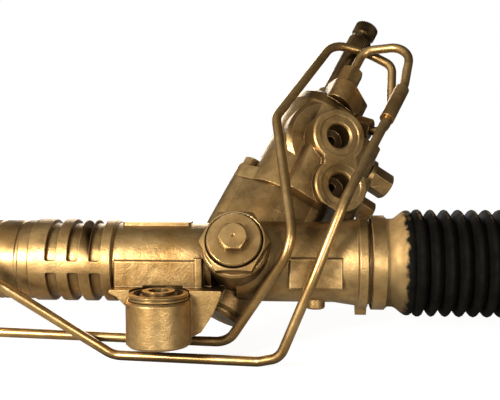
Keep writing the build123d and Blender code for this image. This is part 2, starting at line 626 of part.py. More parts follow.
# ---------------------------------------------------------------- mounting bushes
def bush_shell(plane):
    """The pressed steel shell of a bush, with its rolled lip."""
    top = BOSS_LIFT + BOSS_HEIGHT
    bore = BUSH_SHELL_RADIUS - BUSH_SHELL_WALL
    lip = BUSH_TOP - top
    outline = [(0, 0.5), (0.15, 0), (0.4, 0), (0.5, 0.7), (0.6, 0.7), (0.7, 0), (0.85, 0), (1, 0.6)]
    return turned(plane, [(BOSS_LIFT, bore), (BOSS_LIFT, BUSH_SHELL_RADIUS), (top, BUSH_SHELL_RADIUS)]
                  + [(top + part * lip, BUSH_LIP_RADIUS - drop) for part, drop in outline]
                  + [(BUSH_TOP, bore)])


def bush_rubber(plane):
    """The rubber between shell and sleeve, with a crescent void each side."""
    outer = BUSH_SHELL_RADIUS - BUSH_SHELL_WALL
    body = ring(plane, BOSS_LIFT + 1, BUSH_TOP - 0.8, outer, SLEEVE_RADIUS)
    void = ring(plane, BUSH_TOP - 9, BUSH_TOP, outer - 1.2, SLEEVE_RADIUS + 1.4)
    for side in (-1, 1):
        body -= void & moved(plane, side * outer, 0, BUSH_TOP - 5) * Box(outer, outer * 1.2, 12)
    return body


def bush_sleeve(plane):
    return ring(plane, 0, SLEEVE_LENGTH, SLEEVE_RADIUS, BOLT_HOLE_RADIUS)


# ---------------------------------------------------------------- yoke
def yoke():
    """The plunger that presses the rack into the pinion."""
    body = disc(YOKE, YOKE_START, YOKE_END, YOKE_RADIUS)
    body -= disc(YOKE, YOKE_END - 8.5, YOKE_END + 1, SPRING_RADIUS + SPRING_WIRE)
    groove_at = YOKE_END - 4
    body -= ring(YOKE, groove_at - O_RING_SIZE, groove_at + O_RING_SIZE, YOKE_RADIUS + 1,
                 YOKE_RADIUS - 2 * O_RING_SIZE)
    return body - disc(RACK, PINION_X - 30, PINION_X + 30, RACK_RADIUS + RUNNING + YOKE_LINER)


def yoke_liner():
    """The low-friction half shell between yoke and rack."""
    shell = ring(RACK, PINION_X - 30, PINION_X + 30, RACK_RADIUS + RUNNING + YOKE_LINER,
                 RACK_RADIUS + RUNNING)
    return shell & disc(YOKE, YOKE_START, YOKE_END, YOKE_RADIUS - 0.4)


def yoke_o_ring():
    groove_at = YOKE_END - 4
    return ring(YOKE, groove_at - O_RING_SIZE, groove_at + O_RING_SIZE, YOKE_BORE,
                YOKE_RADIUS - 2 * O_RING_SIZE)


def yoke_spring():
    """A coil spring from the yoke's pocket to the plug."""
    start = YOKE_END - 8.5 + SPRING_WIRE / 2
    finish = PLUG_START - SPRING_WIRE / 2
    pitch = (finish - start) / SPRING_TURNS
    path = Helix(pitch, finish - start, SPRING_RADIUS)
    profile = Plane(origin=path @ 0, z_dir=path % 0) * Circle(SPRING_WIRE / 2)
    return YOKE.offset(start) * sweep(profile, path)


def yoke_plug():
    """The screwed plug over the yoke, with its hexagon nub and centre mark."""
    face = PLUG_FACE
    body = turned(YOKE, [(PLUG_START, 0), (PLUG_START, PLUG_RADIUS - 1), (PLUG_START + 1, PLUG_RADIUS),
                         (face - 0.8, PLUG_RADIUS), (face, PLUG_RADIUS - 0.8), (face, 0)])
    nub = chamfered_hex(YOKE, face - 1, face + PLUG_NUB_HEIGHT, PLUG_NUB_FLATS)
    dimple = turned(YOKE, [(face + PLUG_NUB_HEIGHT + 0.1, 0), (face + PLUG_NUB_HEIGHT + 0.1, 1.2),
                           (face + PLUG_NUB_HEIGHT - 1, 0)])
    return body + nub - dimple


def yoke_locknut():
    """The hexagon locknut round the plug, open to a thin groove at its face."""
    nut = chamfered_hex(YOKE, LOCKNUT_START, LOCKNUT_START + LOCKNUT_HEIGHT, LOCKNUT_FLATS)
    nut -= disc(YOKE, LOCKNUT_START - 1, LOCKNUT_START + LOCKNUT_HEIGHT + 1, PLUG_RADIUS)
    end = LOCKNUT_START + LOCKNUT_HEIGHT
    return nut - turned(YOKE, [(end - 1.2, PLUG_RADIUS - 0.1), (end + 0.1, PLUG_RADIUS - 0.1),
                               (end + 0.1, PLUG_RADIUS + 1.2)])


# ---------------------------------------------------------------- rack and piston
def rack_bar():
    """The toothed bar, drilled at both ends for the sockets."""
    left = LEFT_SOCKET_FACE_X + WASHER_THICKNESS
    right = SOCKET_FACE_X - WASHER_THICKNESS
    bar = disc(RACK, left, right, RACK_RADIUS)
    depth = SOCKET_STUD_LENGTH - WASHER_THICKNESS + 2
    bar -= disc(RACK, left - 1, left + depth, SOCKET_STUD_RADIUS)
    bar -= disc(RACK, right - depth, right + 1, SOCKET_STUD_RADIUS)
    mesh = Plane(origin=RACK_CENTRE, x_dir=(1, 0, 0), z_dir=(0, SIN_RISE, COS_RISE))
    reach = TRAVEL + TEETH_BEYOND_TRAVEL
    gaps = math.floor(reach / RACK_PITCH)
    crest = RACK_RADIUS + 1
    land = Pos(0, (TOOTH_CREST + crest) / 2) * Rectangle(2 * gaps * RACK_PITCH + RACK_PITCH,
                                                         crest - TOOTH_CREST)
    cuts = [land] + [Pos(i * RACK_PITCH, 0) * tooth_gap(crest) for i in range(-gaps, gaps + 1)]
    sketch = joined(cuts)
    return bar - mesh * extrude(sketch, RACK_RADIUS + 1, both=True)


def tooth_gap(crest):
    """The outline of one gap between rack teeth, open at the crest."""
    slope = math.tan(math.radians(PRESSURE_ANGLE))
    middle = TOOTH_CREST - ADDENDUM
    half = (RACK_PITCH / 2 + BACKLASH) / 2
    low = half - (middle - TOOTH_ROOT) * slope
    high = half + (TOOTH_CREST - middle) * slope
    return make_face(Polyline((-low, TOOTH_ROOT), (low, TOOTH_ROOT), (high, TOOTH_CREST), (high, crest),
                              (-high, crest), (-high, TOOTH_CREST), close=True))


def piston():
    half = PISTON_LENGTH / 2
    body = ring(RACK, PISTON_X - half, PISTON_X + half, TUBE_BORE - EASY, RACK_RADIUS)
    return body - piston_ring_space(TUBE_BORE)


def piston_ring_space(outer):
    half = PISTON_RING_WIDTH / 2
    return ring(RACK, PISTON_X - half, PISTON_X + half, outer, TUBE_BORE - EASY - PISTON_RING_DEPTH)


def piston_ring():
    return piston_ring_space(TUBE_BORE - RUNNING)


# ---------------------------------------------------------------- pinion
def involute_point(radius, base):
    """The angle that an involute from this base circle has turned through at a radius."""
    pressure = math.acos(base / radius)
    return math.tan(pressure) - pressure


def pinion_section():
    """The pinion's outline square to its axis, one tooth centred on the yoke side."""
    module = NORMAL_MODULE / COS_TILT
    pressure = math.atan(math.tan(math.radians(PRESSURE_ANGLE)) / COS_TILT)
    base = PITCH_RADIUS * math.cos(pressure)
    root = MESH_LINE - ADDENDUM - ROOT_CLEARANCE
    thickness = module * math.pi / 2 + 2 * PROFILE_SHIFT * NORMAL_MODULE * math.tan(pressure)
    centre = thickness / (2 * PITCH_RADIUS) + involute_point(PITCH_RADIUS, base)
    steps = 6
    radii = [base + (PINION_TIP_RADIUS - base) * i / steps for i in range(steps + 1)]
    flank = [(radius, centre - involute_point(radius, base)) for radius in radii]
    tooth_angle = 2 * math.pi / PINION_TEETH
    edges = []
    for i in range(PINION_TEETH):
        middle = i * tooth_angle
        rising = [polar(radius, middle - angle) for radius, angle in flank]
        falling = [polar(radius, middle + angle) for radius, angle in reversed(flank)]
        next_root = middle + tooth_angle - flank[0][1]
        edges += [Line(polar(root, middle - flank[0][1]), rising[0]), Spline(*rising),
                  ThreePointArc(rising[-1], polar(PINION_TIP_RADIUS, middle), falling[0]), Spline(*falling),
                  Line(falling[-1], polar(root, middle + flank[0][1])),
                  ThreePointArc(polar(root, middle + flank[0][1]), polar(root, middle + tooth_angle / 2),
                                polar(root, next_root))]
    return make_face(edges)


def polar(radius, angle):
    return (radius * math.cos(angle), radius * math.sin(angle))


def pinion_gear():
    """The pinion: helical teeth, journals, and the cup that drives the valve sleeve."""
    half = PINION_FACE / 2
    twist = math.degrees(math.tan(math.radians(PINION_TILT)) / PITCH_RADIUS)
    section = Rot(0, 0, twist * half) * pinion_section()
    teeth = Solid.extrude_linear_with_rotation(section.face(), (0, 0, 0), (0, 0, PINION_FACE),
                                               -twist * PINION_FACE)
    teeth = PINION.offset(-half) * teeth
    bearing_bottom = BEARING_TOP - BEARING_WIDTH
    journal = turned(PINION, [(bearing_bottom - 4.9, 0), (bearing_bottom - 4.9, BEARING_INNER - 1),
                              (bearing_bottom - 3.9, BEARING_INNER), (BEARING_TOP, BEARING_INNER),
                              (BEARING_TOP, PITCH_RADIUS - 1.2), (-half + 0.5, PITCH_RADIUS - 1.2),
                              (-half + 0.5, 0)])
    shaft = turned(PINION, [(half - 0.5, 0), (half - 0.5, PINION_SHAFT_RADIUS), (CUP[0], PINION_SHAFT_RADIUS),
                            (CUP[0] + 2, CUP_RADIUS), (CUP[1], CUP_RADIUS), (CUP[1], 0)])
    body = joined([teeth, journal, shaft])
    body -= disc(PINION, CUP[0] + 7, CUP[1] + 1, VALVE_SLEEVE_BORE + 0.8)
    return body - disc(PINION, TORSION_BOTTOM - 1, CUP[1], TORSION_RADIUS + RUNNING)


def pinion_nut():
    bottom = BEARING_TOP - BEARING_WIDTH
    return chamfered_hex(flipped(PINION, bottom), 0, 4.4, 19) - disc(PINION, bottom - 6, bottom, BEARING_INNER)


def flipped(plane, along):
    """The plane turned over, its origin moved along its old Z."""
    origin = plane.origin + plane.z_dir * along
    return Plane(origin=origin, x_dir=plane.x_dir, z_dir=plane.z_dir * -1)


# ---------------------------------------------------------------- bearings, seals and the lower cap
def bearing_race_radius():
    return (BEARING_OUTER + BEARING_INNER) / 2


def bearing_ball_radius():
    return (BEARING_OUTER - BEARING_INNER) * 0.3


def bearing_race(inner, outer):
    """One ring of the ball bearing, with the track its balls run in."""
    section = Pos((inner + outer) / 2, 0) * Rectangle(outer - inner, BEARING_WIDTH)
    section -= Pos(bearing_race_radius(), 0) * Circle(bearing_ball_radius() + RUNNING)
    return PINION.offset(BEARING_TOP - BEARING_WIDTH / 2) * revolve(Plane.XZ * section, Axis.Z)


def bearing_outer_ring():
    return bearing_race(bearing_race_radius() + bearing_ball_radius() * 0.6, BEARING_OUTER)


def bearing_inner_ring():
    return bearing_race(BEARING_INNER, bearing_race_radius() - bearing_ball_radius() * 0.6)


def bearing_balls():
    middle = PINION.offset(BEARING_TOP - BEARING_WIDTH / 2)
    places = [polar(bearing_race_radius(), 2 * math.pi * i / BALL_COUNT) for i in range(BALL_COUNT)]
    return grouped([middle * Pos(x, y) * Sphere(bearing_ball_radius()) for x, y in places])


def pinion_cap():
    """The screwed cap that closes the tower's lower end."""
    low = TOWER_BOTTOM - CAP_HEIGHT
    body = turned(PINION, [(low, 0), (low, CAP_RADIUS - 3), (low + 2, CAP_RADIUS - 1.5),
                           (TOWER_BOTTOM, CAP_RADIUS - 1.5), (TOWER_BOTTOM, PINION_BORE),
                           (BEARING_TOP - BEARING_WIDTH - 0.2, PINION_BORE),
                           (BEARING_TOP - BEARING_WIDTH - 0.2, PINION_BORE - 2.5),
                           (TOWER_BOTTOM, PINION_BORE - 2.5), (TOWER_BOTTOM, 0)])
    return body


def upper_bush():
    return ring(PINION, *UPPER_BUSH, PINION_BORE, PINION_SHAFT_RADIUS + RUNNING)


def pinion_seal():
    low, high = PINION_SEAL
    return turned(PINION, [(low, PINION_BORE), (low, PINION_SHAFT_RADIUS + 2.2),
                           (low + 1.2, PINION_SHAFT_RADIUS + RUNNING), (low + 2, PINION_SHAFT_RADIUS + RUNNING),
                           (low + 4.5, PINION_SHAFT_RADIUS + 1.2), (high, PINION_SHAFT_RADIUS + 1.2),
                           (high, PINION_BORE)])


def housing_o_ring():
    return ring(PINION, TOWER_TOP - O_RING_SIZE, TOWER_TOP, O_RING_RADIUS + O_RING_SIZE, O_RING_RADIUS)


# ---------------------------------------------------------------- valve housing
def port_plane():
    """The plane through the pinion axis that faces the hose ports; its Z points out of them."""
    return aimed(PINION, PORT_ANGLE, 0)


def block_point(outward, side):
    """A point of the port block across the pinion, from its distance outward and sideways."""
    angle = math.radians(PORT_ANGLE)
    return (outward * math.cos(angle) - side * math.sin(angle),
            outward * math.sin(angle) + side * math.cos(angle))


def block_corner(outward, side):
    """A rounded corner of the port block, as a circle for hull_prism."""
    return (*block_point(outward, side), BLOCK_CORNER)


def port_block():
    """The block in front of the valve, with a raised rim round each hose port."""
    plane = port_plane()
    deep = PORT_FACE - BLOCK_STEP - BLOCK_CORNER
    right = BLOCK_RIGHT - BLOCK_CORNER
    drum_radius, drum_front = PORT_DRUM
    lower_top = LOWER_PORT[0] + PORT_RIM_RADIUS - 2
    upper_top = UPPER_PORT[0] + PORT_RIM_RADIUS - 6
    lower = hull_prism(PINION, TOWER_TOP, lower_top,
                       [block_corner(deep - 2, BLOCK_LEFT), block_corner(deep - 2, right),
                        block_corner(-2, right), block_corner(8, BLOCK_LEFT - 4)])
    upper = hull_prism(PINION, lower_top - 1, upper_top,
                       [block_corner(deep - 4, UPPER_PORT[1] - 9), block_corner(deep - 4, right - 4),
                        block_corner(-1, right), block_corner(0, 0)])
    drum = disc(moved(plane, UPPER_PORT[1], UPPER_PORT[0]), 0, drum_front, drum_radius)
    drum = chamfer(front_edge(drum, plane), 3)
    waist_radius = PORT_RIM_RADIUS * 0.62
    rims = [disc(moved(plane, side, along), 22, PORT_FACE, PORT_RIM_RADIUS)
            for along, side in (UPPER_PORT, LOWER_PORT)]
    rims = [chamfer(front_edge(rim, plane), 1) for rim in rims]
    waist = hull_prism(plane, 22, PORT_FACE, [(side, along, waist_radius)
                                             for along, side in (UPPER_PORT, LOWER_PORT)])
    return joined([lower, upper, drum, waist] + rims)


def front_edge(body, plane):
    """The round edge of a body that lies furthest along a plane's Z."""
    return body.edges().filter_by(GeomType.CIRCLE).sort_by(Axis(plane.origin, plane.z_dir))[-1]


def valve_body():
    """The turned part of the valve housing: body, shoulder and neck."""
    top = VALVE_BODY_TOP
    bead = NECK_RADIUS + NECK_BEAD
    return turned(PINION, [(TOWER_TOP, 0), (TOWER_TOP, VALVE_BODY_RADIUS), (top - 11, VALVE_BODY_RADIUS),
                           (top - 3, VALVE_BODY_RADIUS - 3), (top, VALVE_BODY_RADIUS - 6),
                           (top + NECK_LENGTH / 4, NECK_RADIUS + 2.5), (top + NECK_LENGTH / 2, NECK_RADIUS),
                           (NECK_TOP - 2.5, NECK_RADIUS), (NECK_TOP - 2, bead), (NECK_TOP - 0.4, bead),
                           (NECK_TOP, bead - 0.4), (NECK_TOP, 0)])


def gallery_boss():
    """The boss beside the neck that takes the upper line's nut from above."""
    low = VALVE_BODY_TOP - 4
    centre = polar(GALLERY_REACH, math.radians(GALLERY_ANGLE))
    reach, angle, radius = GALLERY_LOBE
    lobe = polar(reach, math.radians(angle))
    return hull_prism(PINION, low, GALLERY_TOP, [(0, 0, NECK_RADIUS - 2), (*centre, PORT_BOSS_RADIUS + 1),
                                                 (*lobe, radius)])


def gallery_port():
    """The plane on top of the gallery boss."""
    x, y = polar(GALLERY_REACH, math.radians(GALLERY_ANGLE))
    return moved(PINION, x, y, GALLERY_TOP)


def side_port():
    """The plane of the line port on the right of the valve body, its Z pointing out."""
    return aimed(PINION, SIDE_PORT_ANGLE, SIDE_PORT_ALONG)


def plug_plane(along, outward):
    """The plane of a plug on the port block's right side, its Z pointing out."""
    return aimed(PINION, PORT_ANGLE + 90, along, 0, -outward)


def drilled(start, finish, radius):
    """A straight drilling between two points."""
    span = finish - start
    return disc(Plane(origin=start, z_dir=span), 0, span.length, radius)


def on(plane, x, y, z):
    return plane.from_local_coords(Vector(x, y, z))


def valve_drillings():
    """Every hole in the valve housing that carries oil."""
    plane = port_plane()
    holes = []
    for along, side in (UPPER_PORT, LOWER_PORT):
        port = moved(plane, side, along)
        holes += [disc(port, PORT_FACE - PORT_DEPTH, PORT_FACE + 1, PORT_HOLE_RADIUS),
                  disc(port, PORT_FACE - 0.8, PORT_FACE + 1, PORT_SPOT_RADIUS),
                  turned(port, [(PORT_FACE - 2.2, 0), (PORT_FACE - 2.2, PORT_HOLE_RADIUS - 0.1),
                                (PORT_FACE + 0.1, PORT_HOLE_RADIUS + 2), (PORT_FACE + 0.1, 0)]),
                  drilled(on(port, 0, 0, PORT_FACE - PORT_DEPTH + 1), on(plane, 6, along, 6), 3.2)]
    holes += [port_thread(gallery_port(), 0), port_thread(side_port(), SIDE_PORT_REACH),
              disc(side_port(), SIDE_PORT_REACH, SIDE_PORT_REACH + 30, NUT_FLATS / math.sqrt(3) + 1.5)]
    groove_low, groove_middle, groove_high = SLEEVE_GROOVES
    angle = math.radians(GALLERY_ANGLE)
    holes += [drilled(gallery_port().origin - PINION_DIRECTION * 8, on(PINION, *polar(12, angle), groove_middle),
                      GALLERY_RADIUS),
              drilled(on(side_port(), 0, 0, SIDE_PORT_REACH - 8),
                      on(PINION, *polar(12, math.radians(SIDE_PORT_ANGLE)), groove_high), GALLERY_RADIUS)]
    for along, outward, radius in PLUGS:
        holes.append(disc(plug_plane(along, outward), BLOCK_RIGHT - 12, BLOCK_RIGHT + 1, radius))
    return holes


def valve_housing():
    flange = hull_prism(PINION, TOWER_TOP, TOWER_TOP + VALVE_FLANGE,
                        [(0, 0, TOWER_RADIUS)] + [(x, y, PILLAR_RADIUS) for x, y in pillar_places()])
    boss = disc(side_port(), 12, SIDE_PORT_REACH, PORT_BOSS_RADIUS + 0.8)
    body = joined([valve_body(), flange, port_block(), gallery_boss(), boss])
    body -= disc(PINION, TOWER_TOP - 10, TOWER_TOP, BLOCK_RIGHT + BLOCK_CORNER * 4)
    body -= disc(RACK, PINION_X + 40, FLANGE_X + 5, FLANGE_RADIUS + 1)
    body -= disc(PINION, TOWER_TOP - 1, VALVE_BORE_END, VALVE_BORE)
    body -= disc(PINION, VALVE_BORE_END - 1, NECK_TOP + 1, INPUT_RADIUS + EASY)
    body -= disc(PINION, NECK_TOP, GALLERY_TOP + 1, NECK_RADIUS + NECK_BEAD + 1)
    body -= disc(PINION, INPUT_SEAL[0], NECK_TOP + 1, NECK_RADIUS - NECK_WALL)
    for x, y in pillar_places():
        body -= disc(moved(PINION, x, y), TOWER_TOP - 1, TOWER_TOP + VALVE_FLANGE + 30, SCREW_RADIUS + EASY)
        body -= disc(moved(PINION, x, y), TOWER_TOP + VALVE_FLANGE, TOWER_TOP + VALVE_FLANGE + 30,
                     SCREW_FLATS / 2 + 2.5)
    for hole in valve_drillings():
        body -= hole
    return body


def valve_housing_screws():
    """Flanged hexagon screws that hold the valve housing on the tower."""
    top = TOWER_TOP + VALVE_FLANGE
    screws = []
    for x, y in pillar_places():
        plane = moved(PINION, x, y)
        screws.append(joined([disc(plane, TOWER_TOP - SCREW_DEPTH + 2, top + 1, SCREW_RADIUS),
                              turned(plane, [(top, 0), (top, SCREW_FLATS / 2 + 2), (top + 1, SCREW_FLATS / 2 + 2),
                                             (top + 2, SCREW_FLATS / 2), (top + 2, 0)]),
                              chamfered_hex(plane, top + 1, top + 2 + SCREW_HEAD, SCREW_FLATS)]))
    return grouped(screws)


def port_plugs():
    """The hexagon plugs on the right side of the port block."""
    made = []
    for (along, outward, radius), (flats, height, collar_radius) in zip(PLUGS, PLUG_HEADS):
        plane = plug_plane(along, outward)
        made.append(joined([disc(plane, BLOCK_RIGHT - 10, BLOCK_RIGHT + 1, radius),
                            disc(plane, BLOCK_RIGHT, BLOCK_RIGHT + 3.5, collar_radius),
                            chamfered_hex(plane, BLOCK_RIGHT + 3, BLOCK_RIGHT + height, flats)]))
    return grouped(made)


# ---------------------------------------------------------------- rotary valve
def sleeve_seal_places():
    return [SLEEVE_SPAN[0] + FIRST_RING] + [groove + GROOVE_SPACING / 2 for groove in SLEEVE_GROOVES]


def seal_ring_space(along, outer):
    half = SEAL_RING_WIDTH / 2
    return ring(PINION, along - half, along + half, outer, VALVE_BORE - 2.2)


def valve_sleeve():
    """The sleeve that turns with the pinion, with its oil grooves, slots and ring grooves."""
    low, high = SLEEVE_SPAN
    body = ring(PINION, low, high, VALVE_BORE - EASY, VALVE_SLEEVE_BORE)
    half = SLEEVE_GROOVE_WIDTH / 2
    for groove in SLEEVE_GROOVES:
        body -= ring(PINION, groove - half, groove + half, VALVE_BORE, VALVE_BORE - 2)
        for i in range(4):
            body -= disc(aimed(PINION, 45 + 90 * i, groove), 0, VALVE_BORE, 1.5)
    for along in sleeve_seal_places():
        body -= seal_ring_space(along, VALVE_BORE)
    return body


def valve_sleeve_rings():
    return grouped([seal_ring_space(along, VALVE_BORE - RUNNING) for along in sleeve_seal_places()])


def splined_length(low, high):
    """A length of serrated shaft."""
    points = []
    for i in range(SPLINE_TEETH):
        angle = 2 * math.pi * i / SPLINE_TEETH
        step = math.pi / SPLINE_TEETH
        points += [polar(SPLINE_RADIUS, angle), polar(SPLINE_RADIUS - SPLINE_DEPTH, angle + step)]
    return PINION.offset(low) * extrude(make_face(Polyline(*points, close=True)), high - low)


def input_shaft():
    """The input shaft: spool in the sleeve, plain neck and serrated end with a clamp-bolt groove."""
    low, high = SLEEVE_SPAN
    lower_spline, groove, upper_spline = SPLINE_STATIONS
    core = SPLINE_RADIUS - SPLINE_DEPTH
    body = turned(PINION, [(low - 9, 0), (low - 9, SPOOL_RADIUS - 1), (low - 8, SPOOL_RADIUS),
                           (high, SPOOL_RADIUS), (high, INPUT_RADIUS), (lower_spline - 1, INPUT_RADIUS),
                           (lower_spline, core), (groove, core), (groove + 1, core - 1),
                           (upper_spline - 1, core - 1), (upper_spline, core), (INPUT_TIP - 1, core),
                           (INPUT_TIP, core - 1), (INPUT_TIP, 0)])
    body = joined([body, splined_length(lower_spline, groove), splined_length(upper_spline, INPUT_TIP - 0.8)])
    for i in range(6):
        slot = turned_about(PINION, 60 * i)
        body -= moved(slot, SPOOL_RADIUS, 0, (low + high) / 2 - 1) * Box(2.4, 3, high - low - 12)
    body -= disc(PINION, low - 10, TORSION_TOP, TORSION_RADIUS + EASY)
    body -= disc(aimed(PINION, 90, TORSION_TOP - 5), -INPUT_RADIUS - 1, INPUT_RADIUS + 1, TORSION_PIN_RADIUS)
    body -= disc(PINION, TORSION_TOP - 12, TORSION_TOP, TORSION_RADIUS + 0.4)
    return body


def torsion_bar():
    """The thin bar that lets the input shaft turn a little against the pinion."""
    wide = TORSION_RADIUS
    thin = TORSION_RADIUS - 0.5
    body = turned(PINION, [(TORSION_BOTTOM, 0), (TORSION_BOTTOM, wide), (TORSION_BOTTOM + 22, wide),
                           (TORSION_BOTTOM + 26, thin), (TORSION_TOP - 16, thin), (TORSION_TOP - 12, wide),
                           (TORSION_TOP - 12, wide + 0.4),
                           (TORSION_TOP, wide + 0.4), (TORSION_TOP, 0)])
    return body - disc(aimed(PINION, 90, TORSION_TOP - 5), -10, 10, TORSION_PIN_RADIUS)


def torsion_pin():
    return disc(aimed(PINION, 90, TORSION_TOP - 5), -INPUT_RADIUS + 0.3, INPUT_RADIUS - 0.3,
                TORSION_PIN_RADIUS)


def input_bearing():
    return ring(PINION, *UPPER_BEARING, VALVE_BORE, INPUT_RADIUS + RUNNING)


def input_seal():
    low, high = INPUT_SEAL
    outer = NECK_RADIUS - NECK_WALL
    return turned(PINION, [(low, outer), (low, INPUT_RADIUS + 0.6), (low + 1, INPUT_RADIUS + RUNNING),
                           (low + 1.8, INPUT_RADIUS + RUNNING), (low + 3, INPUT_RADIUS + 0.5),
                           (high, INPUT_RADIUS + 0.5), (high, outer)])


def input_dust_cap():
    """The wiper pressed in the neck's mouth."""
    return turned(PINION, [(INPUT_SEAL[1] + 0.3, INPUT_RADIUS + 0.4), (NECK_TOP + 1.4, INPUT_RADIUS + RUNNING),
                           (NECK_TOP + 1.8, INPUT_RADIUS + RUNNING), (NECK_TOP + 1.8, INPUT_RADIUS + 1),
                           (NECK_TOP + 0.4, NECK_RADIUS - 0.9), (NECK_TOP, NECK_RADIUS - NECK_WALL),
                           (INPUT_SEAL[1] + 0.3, NECK_RADIUS - NECK_WALL)])


# ---------------------------------------------------------------- steel lines
def outward_point(plane, reach):
    return plane.origin + plane.z_dir * reach


def line_route(start, start_reach, corners, finish, finish_reach, stubs):
    """Corners of a line from one port to another, straight through a nut at each end."""
    first, last = (NUT_LENGTH + stub for stub in stubs)
    ends = NUT_THREAD_LENGTH - 3
    return [outward_point(start, start_reach - ends), outward_point(start, start_reach + first),
            *(Vector(*corner) for corner in corners),
            outward_point(finish, finish_reach + last), outward_point(finish, finish_reach - ends)]


def upper_line():
    """The line from the gallery boss to the port near the inner bulkhead."""
    route = line_route(gallery_port(), 0, UPPER_LINE_CORNERS, near_port(), NEAR_PORT_REACH, UPPER_LINE_STUBS)
    return bent_tube(route, UPPER_LINE_RADII)


def lower_line():
    """The line from the side port to the port near the outer bulkhead."""
    route = line_route(side_port(), SIDE_PORT_REACH, LOWER_LINE_CORNERS, far_port(), FAR_PORT_REACH,
                       LOWER_LINE_STUBS)
    return bent_tube(route, LOWER_LINE_RADII)


def bent_tube(route, radii):
    """A thin-walled tube along straight runs joined by tangent bends."""
    path = FilletPolyline(*route, radius=radii)
    start = Plane(origin=path @ 0, z_dir=path % 0)
    return sweep(start * (Circle(LINE_RADIUS) - Circle(LINE_RADIUS - LINE_WALL)), path)


def tube_nut(plane, reach):
    """A tube nut screwed into a port whose boss ends at reach."""
    body = joined([disc(plane, reach - NUT_THREAD_LENGTH + 3, reach + 1, NUT_THREAD_RADIUS),
                   chamfered_hex(plane, reach + 0.4, reach + NUT_LENGTH, NUT_FLATS)])
    return body - disc(plane, reach - 20, reach + NUT_LENGTH + 1, LINE_RADIUS)


def tube_nuts():
    return grouped([tube_nut(gallery_port(), 0), tube_nut(side_port(), SIDE_PORT_REACH),
                    tube_nut(near_port(), NEAR_PORT_REACH), tube_nut(far_port(), FAR_PORT_REACH)])


def line_sleeve():
    """The short protective sleeve on the upper line beside the valve."""
    top, bottom = (Vector(*corner) for corner in UPPER_LINE_CORNERS[SLEEVED_RUN:SLEEVED_RUN + 2])
    direction = (bottom - top).normalized()
    plane = Plane(origin=top + direction * LINE_SLEEVE[0], z_dir=direction)
    return ring(plane, 0, LINE_SLEEVE[1], HOSE_SLEEVE_RADIUS, LINE_RADIUS)


# ---------------------------------------------------------------- sockets and tie rods
def socket_housing(plane):
    """The inner joint's socket, with wrench flats, a stud into the rack and a rolled-in mouth."""
    back = -SOCKET_BACK
    front = SOCKET_FRONT
    body = turned(plane, [(back, 0), (back, SOCKET_RADIUS - 4), (back + 1, SOCKET_RADIUS - 3),
                          (back + 7, SOCKET_RADIUS - 3), (back + 9, SOCKET_RADIUS - 0.5), (-8, SOCKET_RADIUS),
                          (2, SOCKET_RADIUS), (front - 1, SOCKET_RADIUS - 4), (front, SOCKET_RADIUS - 5),
                          (front, 0)])
    stud_start = back - SOCKET_STUD_LENGTH
    body += disc(plane, stud_start, back + 1, SOCKET_STUD_RADIUS)
    for side in (-1, 1):
        body -= moved(plane, side * (SOCKET_RADIUS + 3.5), 0, back + 4) * Box(14, 50, 8.4)
    body -= plane * Sphere(SEAT_RADIUS + RUNNING)
    mouth = math.sqrt((SEAT_RADIUS + RUNNING) ** 2 - front ** 2)
    return body - disc(plane, front - 2, front + 1, mouth)


def lock_washer(plane):
    start = -SOCKET_BACK - WASHER_THICKNESS
    return ring(plane, start, -SOCKET_BACK, RACK_RADIUS, SOCKET_STUD_RADIUS)


def ball_seat(plane):
    """The plastic seat between socket and ball."""
    body = plane * Sphere(SEAT_RADIUS) - plane * Sphere(BALL_RADIUS + RUNNING)
    return body - disc(plane, SEAT_OPENING, SEAT_RADIUS + 1, SEAT_RADIUS + 1)


def tie_rod(plane):
    """The inner tie rod: ball, neck, boot seat, shaft and thread."""
    ball = plane * Sphere(BALL_RADIUS) - disc(plane, -BALL_RADIUS - 1, -BALL_RADIUS + 1.5, BALL_RADIUS)
    boot_start = BOOT_END - BOOT_SMALL_LENGTH - 1
    tip = ROD_LENGTH
    thread_start = tip - THREAD_LENGTH
    free_thread = JAM_NUT_AT + JAM_NUT_HEIGHT + JAM_NUT_ROOM
    shaft = turned(plane, [(0, 0), (0, ROD_NECK_RADIUS), (BALL_RADIUS + 4, ROD_NECK_RADIUS),
                           (BALL_RADIUS + 12, ROD_RADIUS), (boot_start - 1, ROD_RADIUS),
                           (boot_start, BOOT_SEAT_RADIUS), (BOOT_END + 1, BOOT_SEAT_RADIUS),
                           (BOOT_END + 2, ROD_RADIUS), (thread_start - 2, ROD_RADIUS),
                           (thread_start, THREAD_RADIUS), (JAM_NUT_AT, THREAD_RADIUS),
                           (JAM_NUT_AT, JAM_THREAD_RADIUS), (free_thread, JAM_THREAD_RADIUS),
                           (free_thread, THREAD_RADIUS), (tip - 1.5, THREAD_RADIUS),
                           (tip, THREAD_RADIUS - 1.5), (tip, 0)])
    return ball + shaft


def jam_nut(plane):
    nut = chamfered_hex(plane, JAM_NUT_AT, JAM_NUT_AT + JAM_NUT_HEIGHT, JAM_NUT_FLATS)
    return nut - disc(plane, JAM_NUT_AT - 1, JAM_NUT_AT + JAM_NUT_HEIGHT + 1, JAM_THREAD_RADIUS)


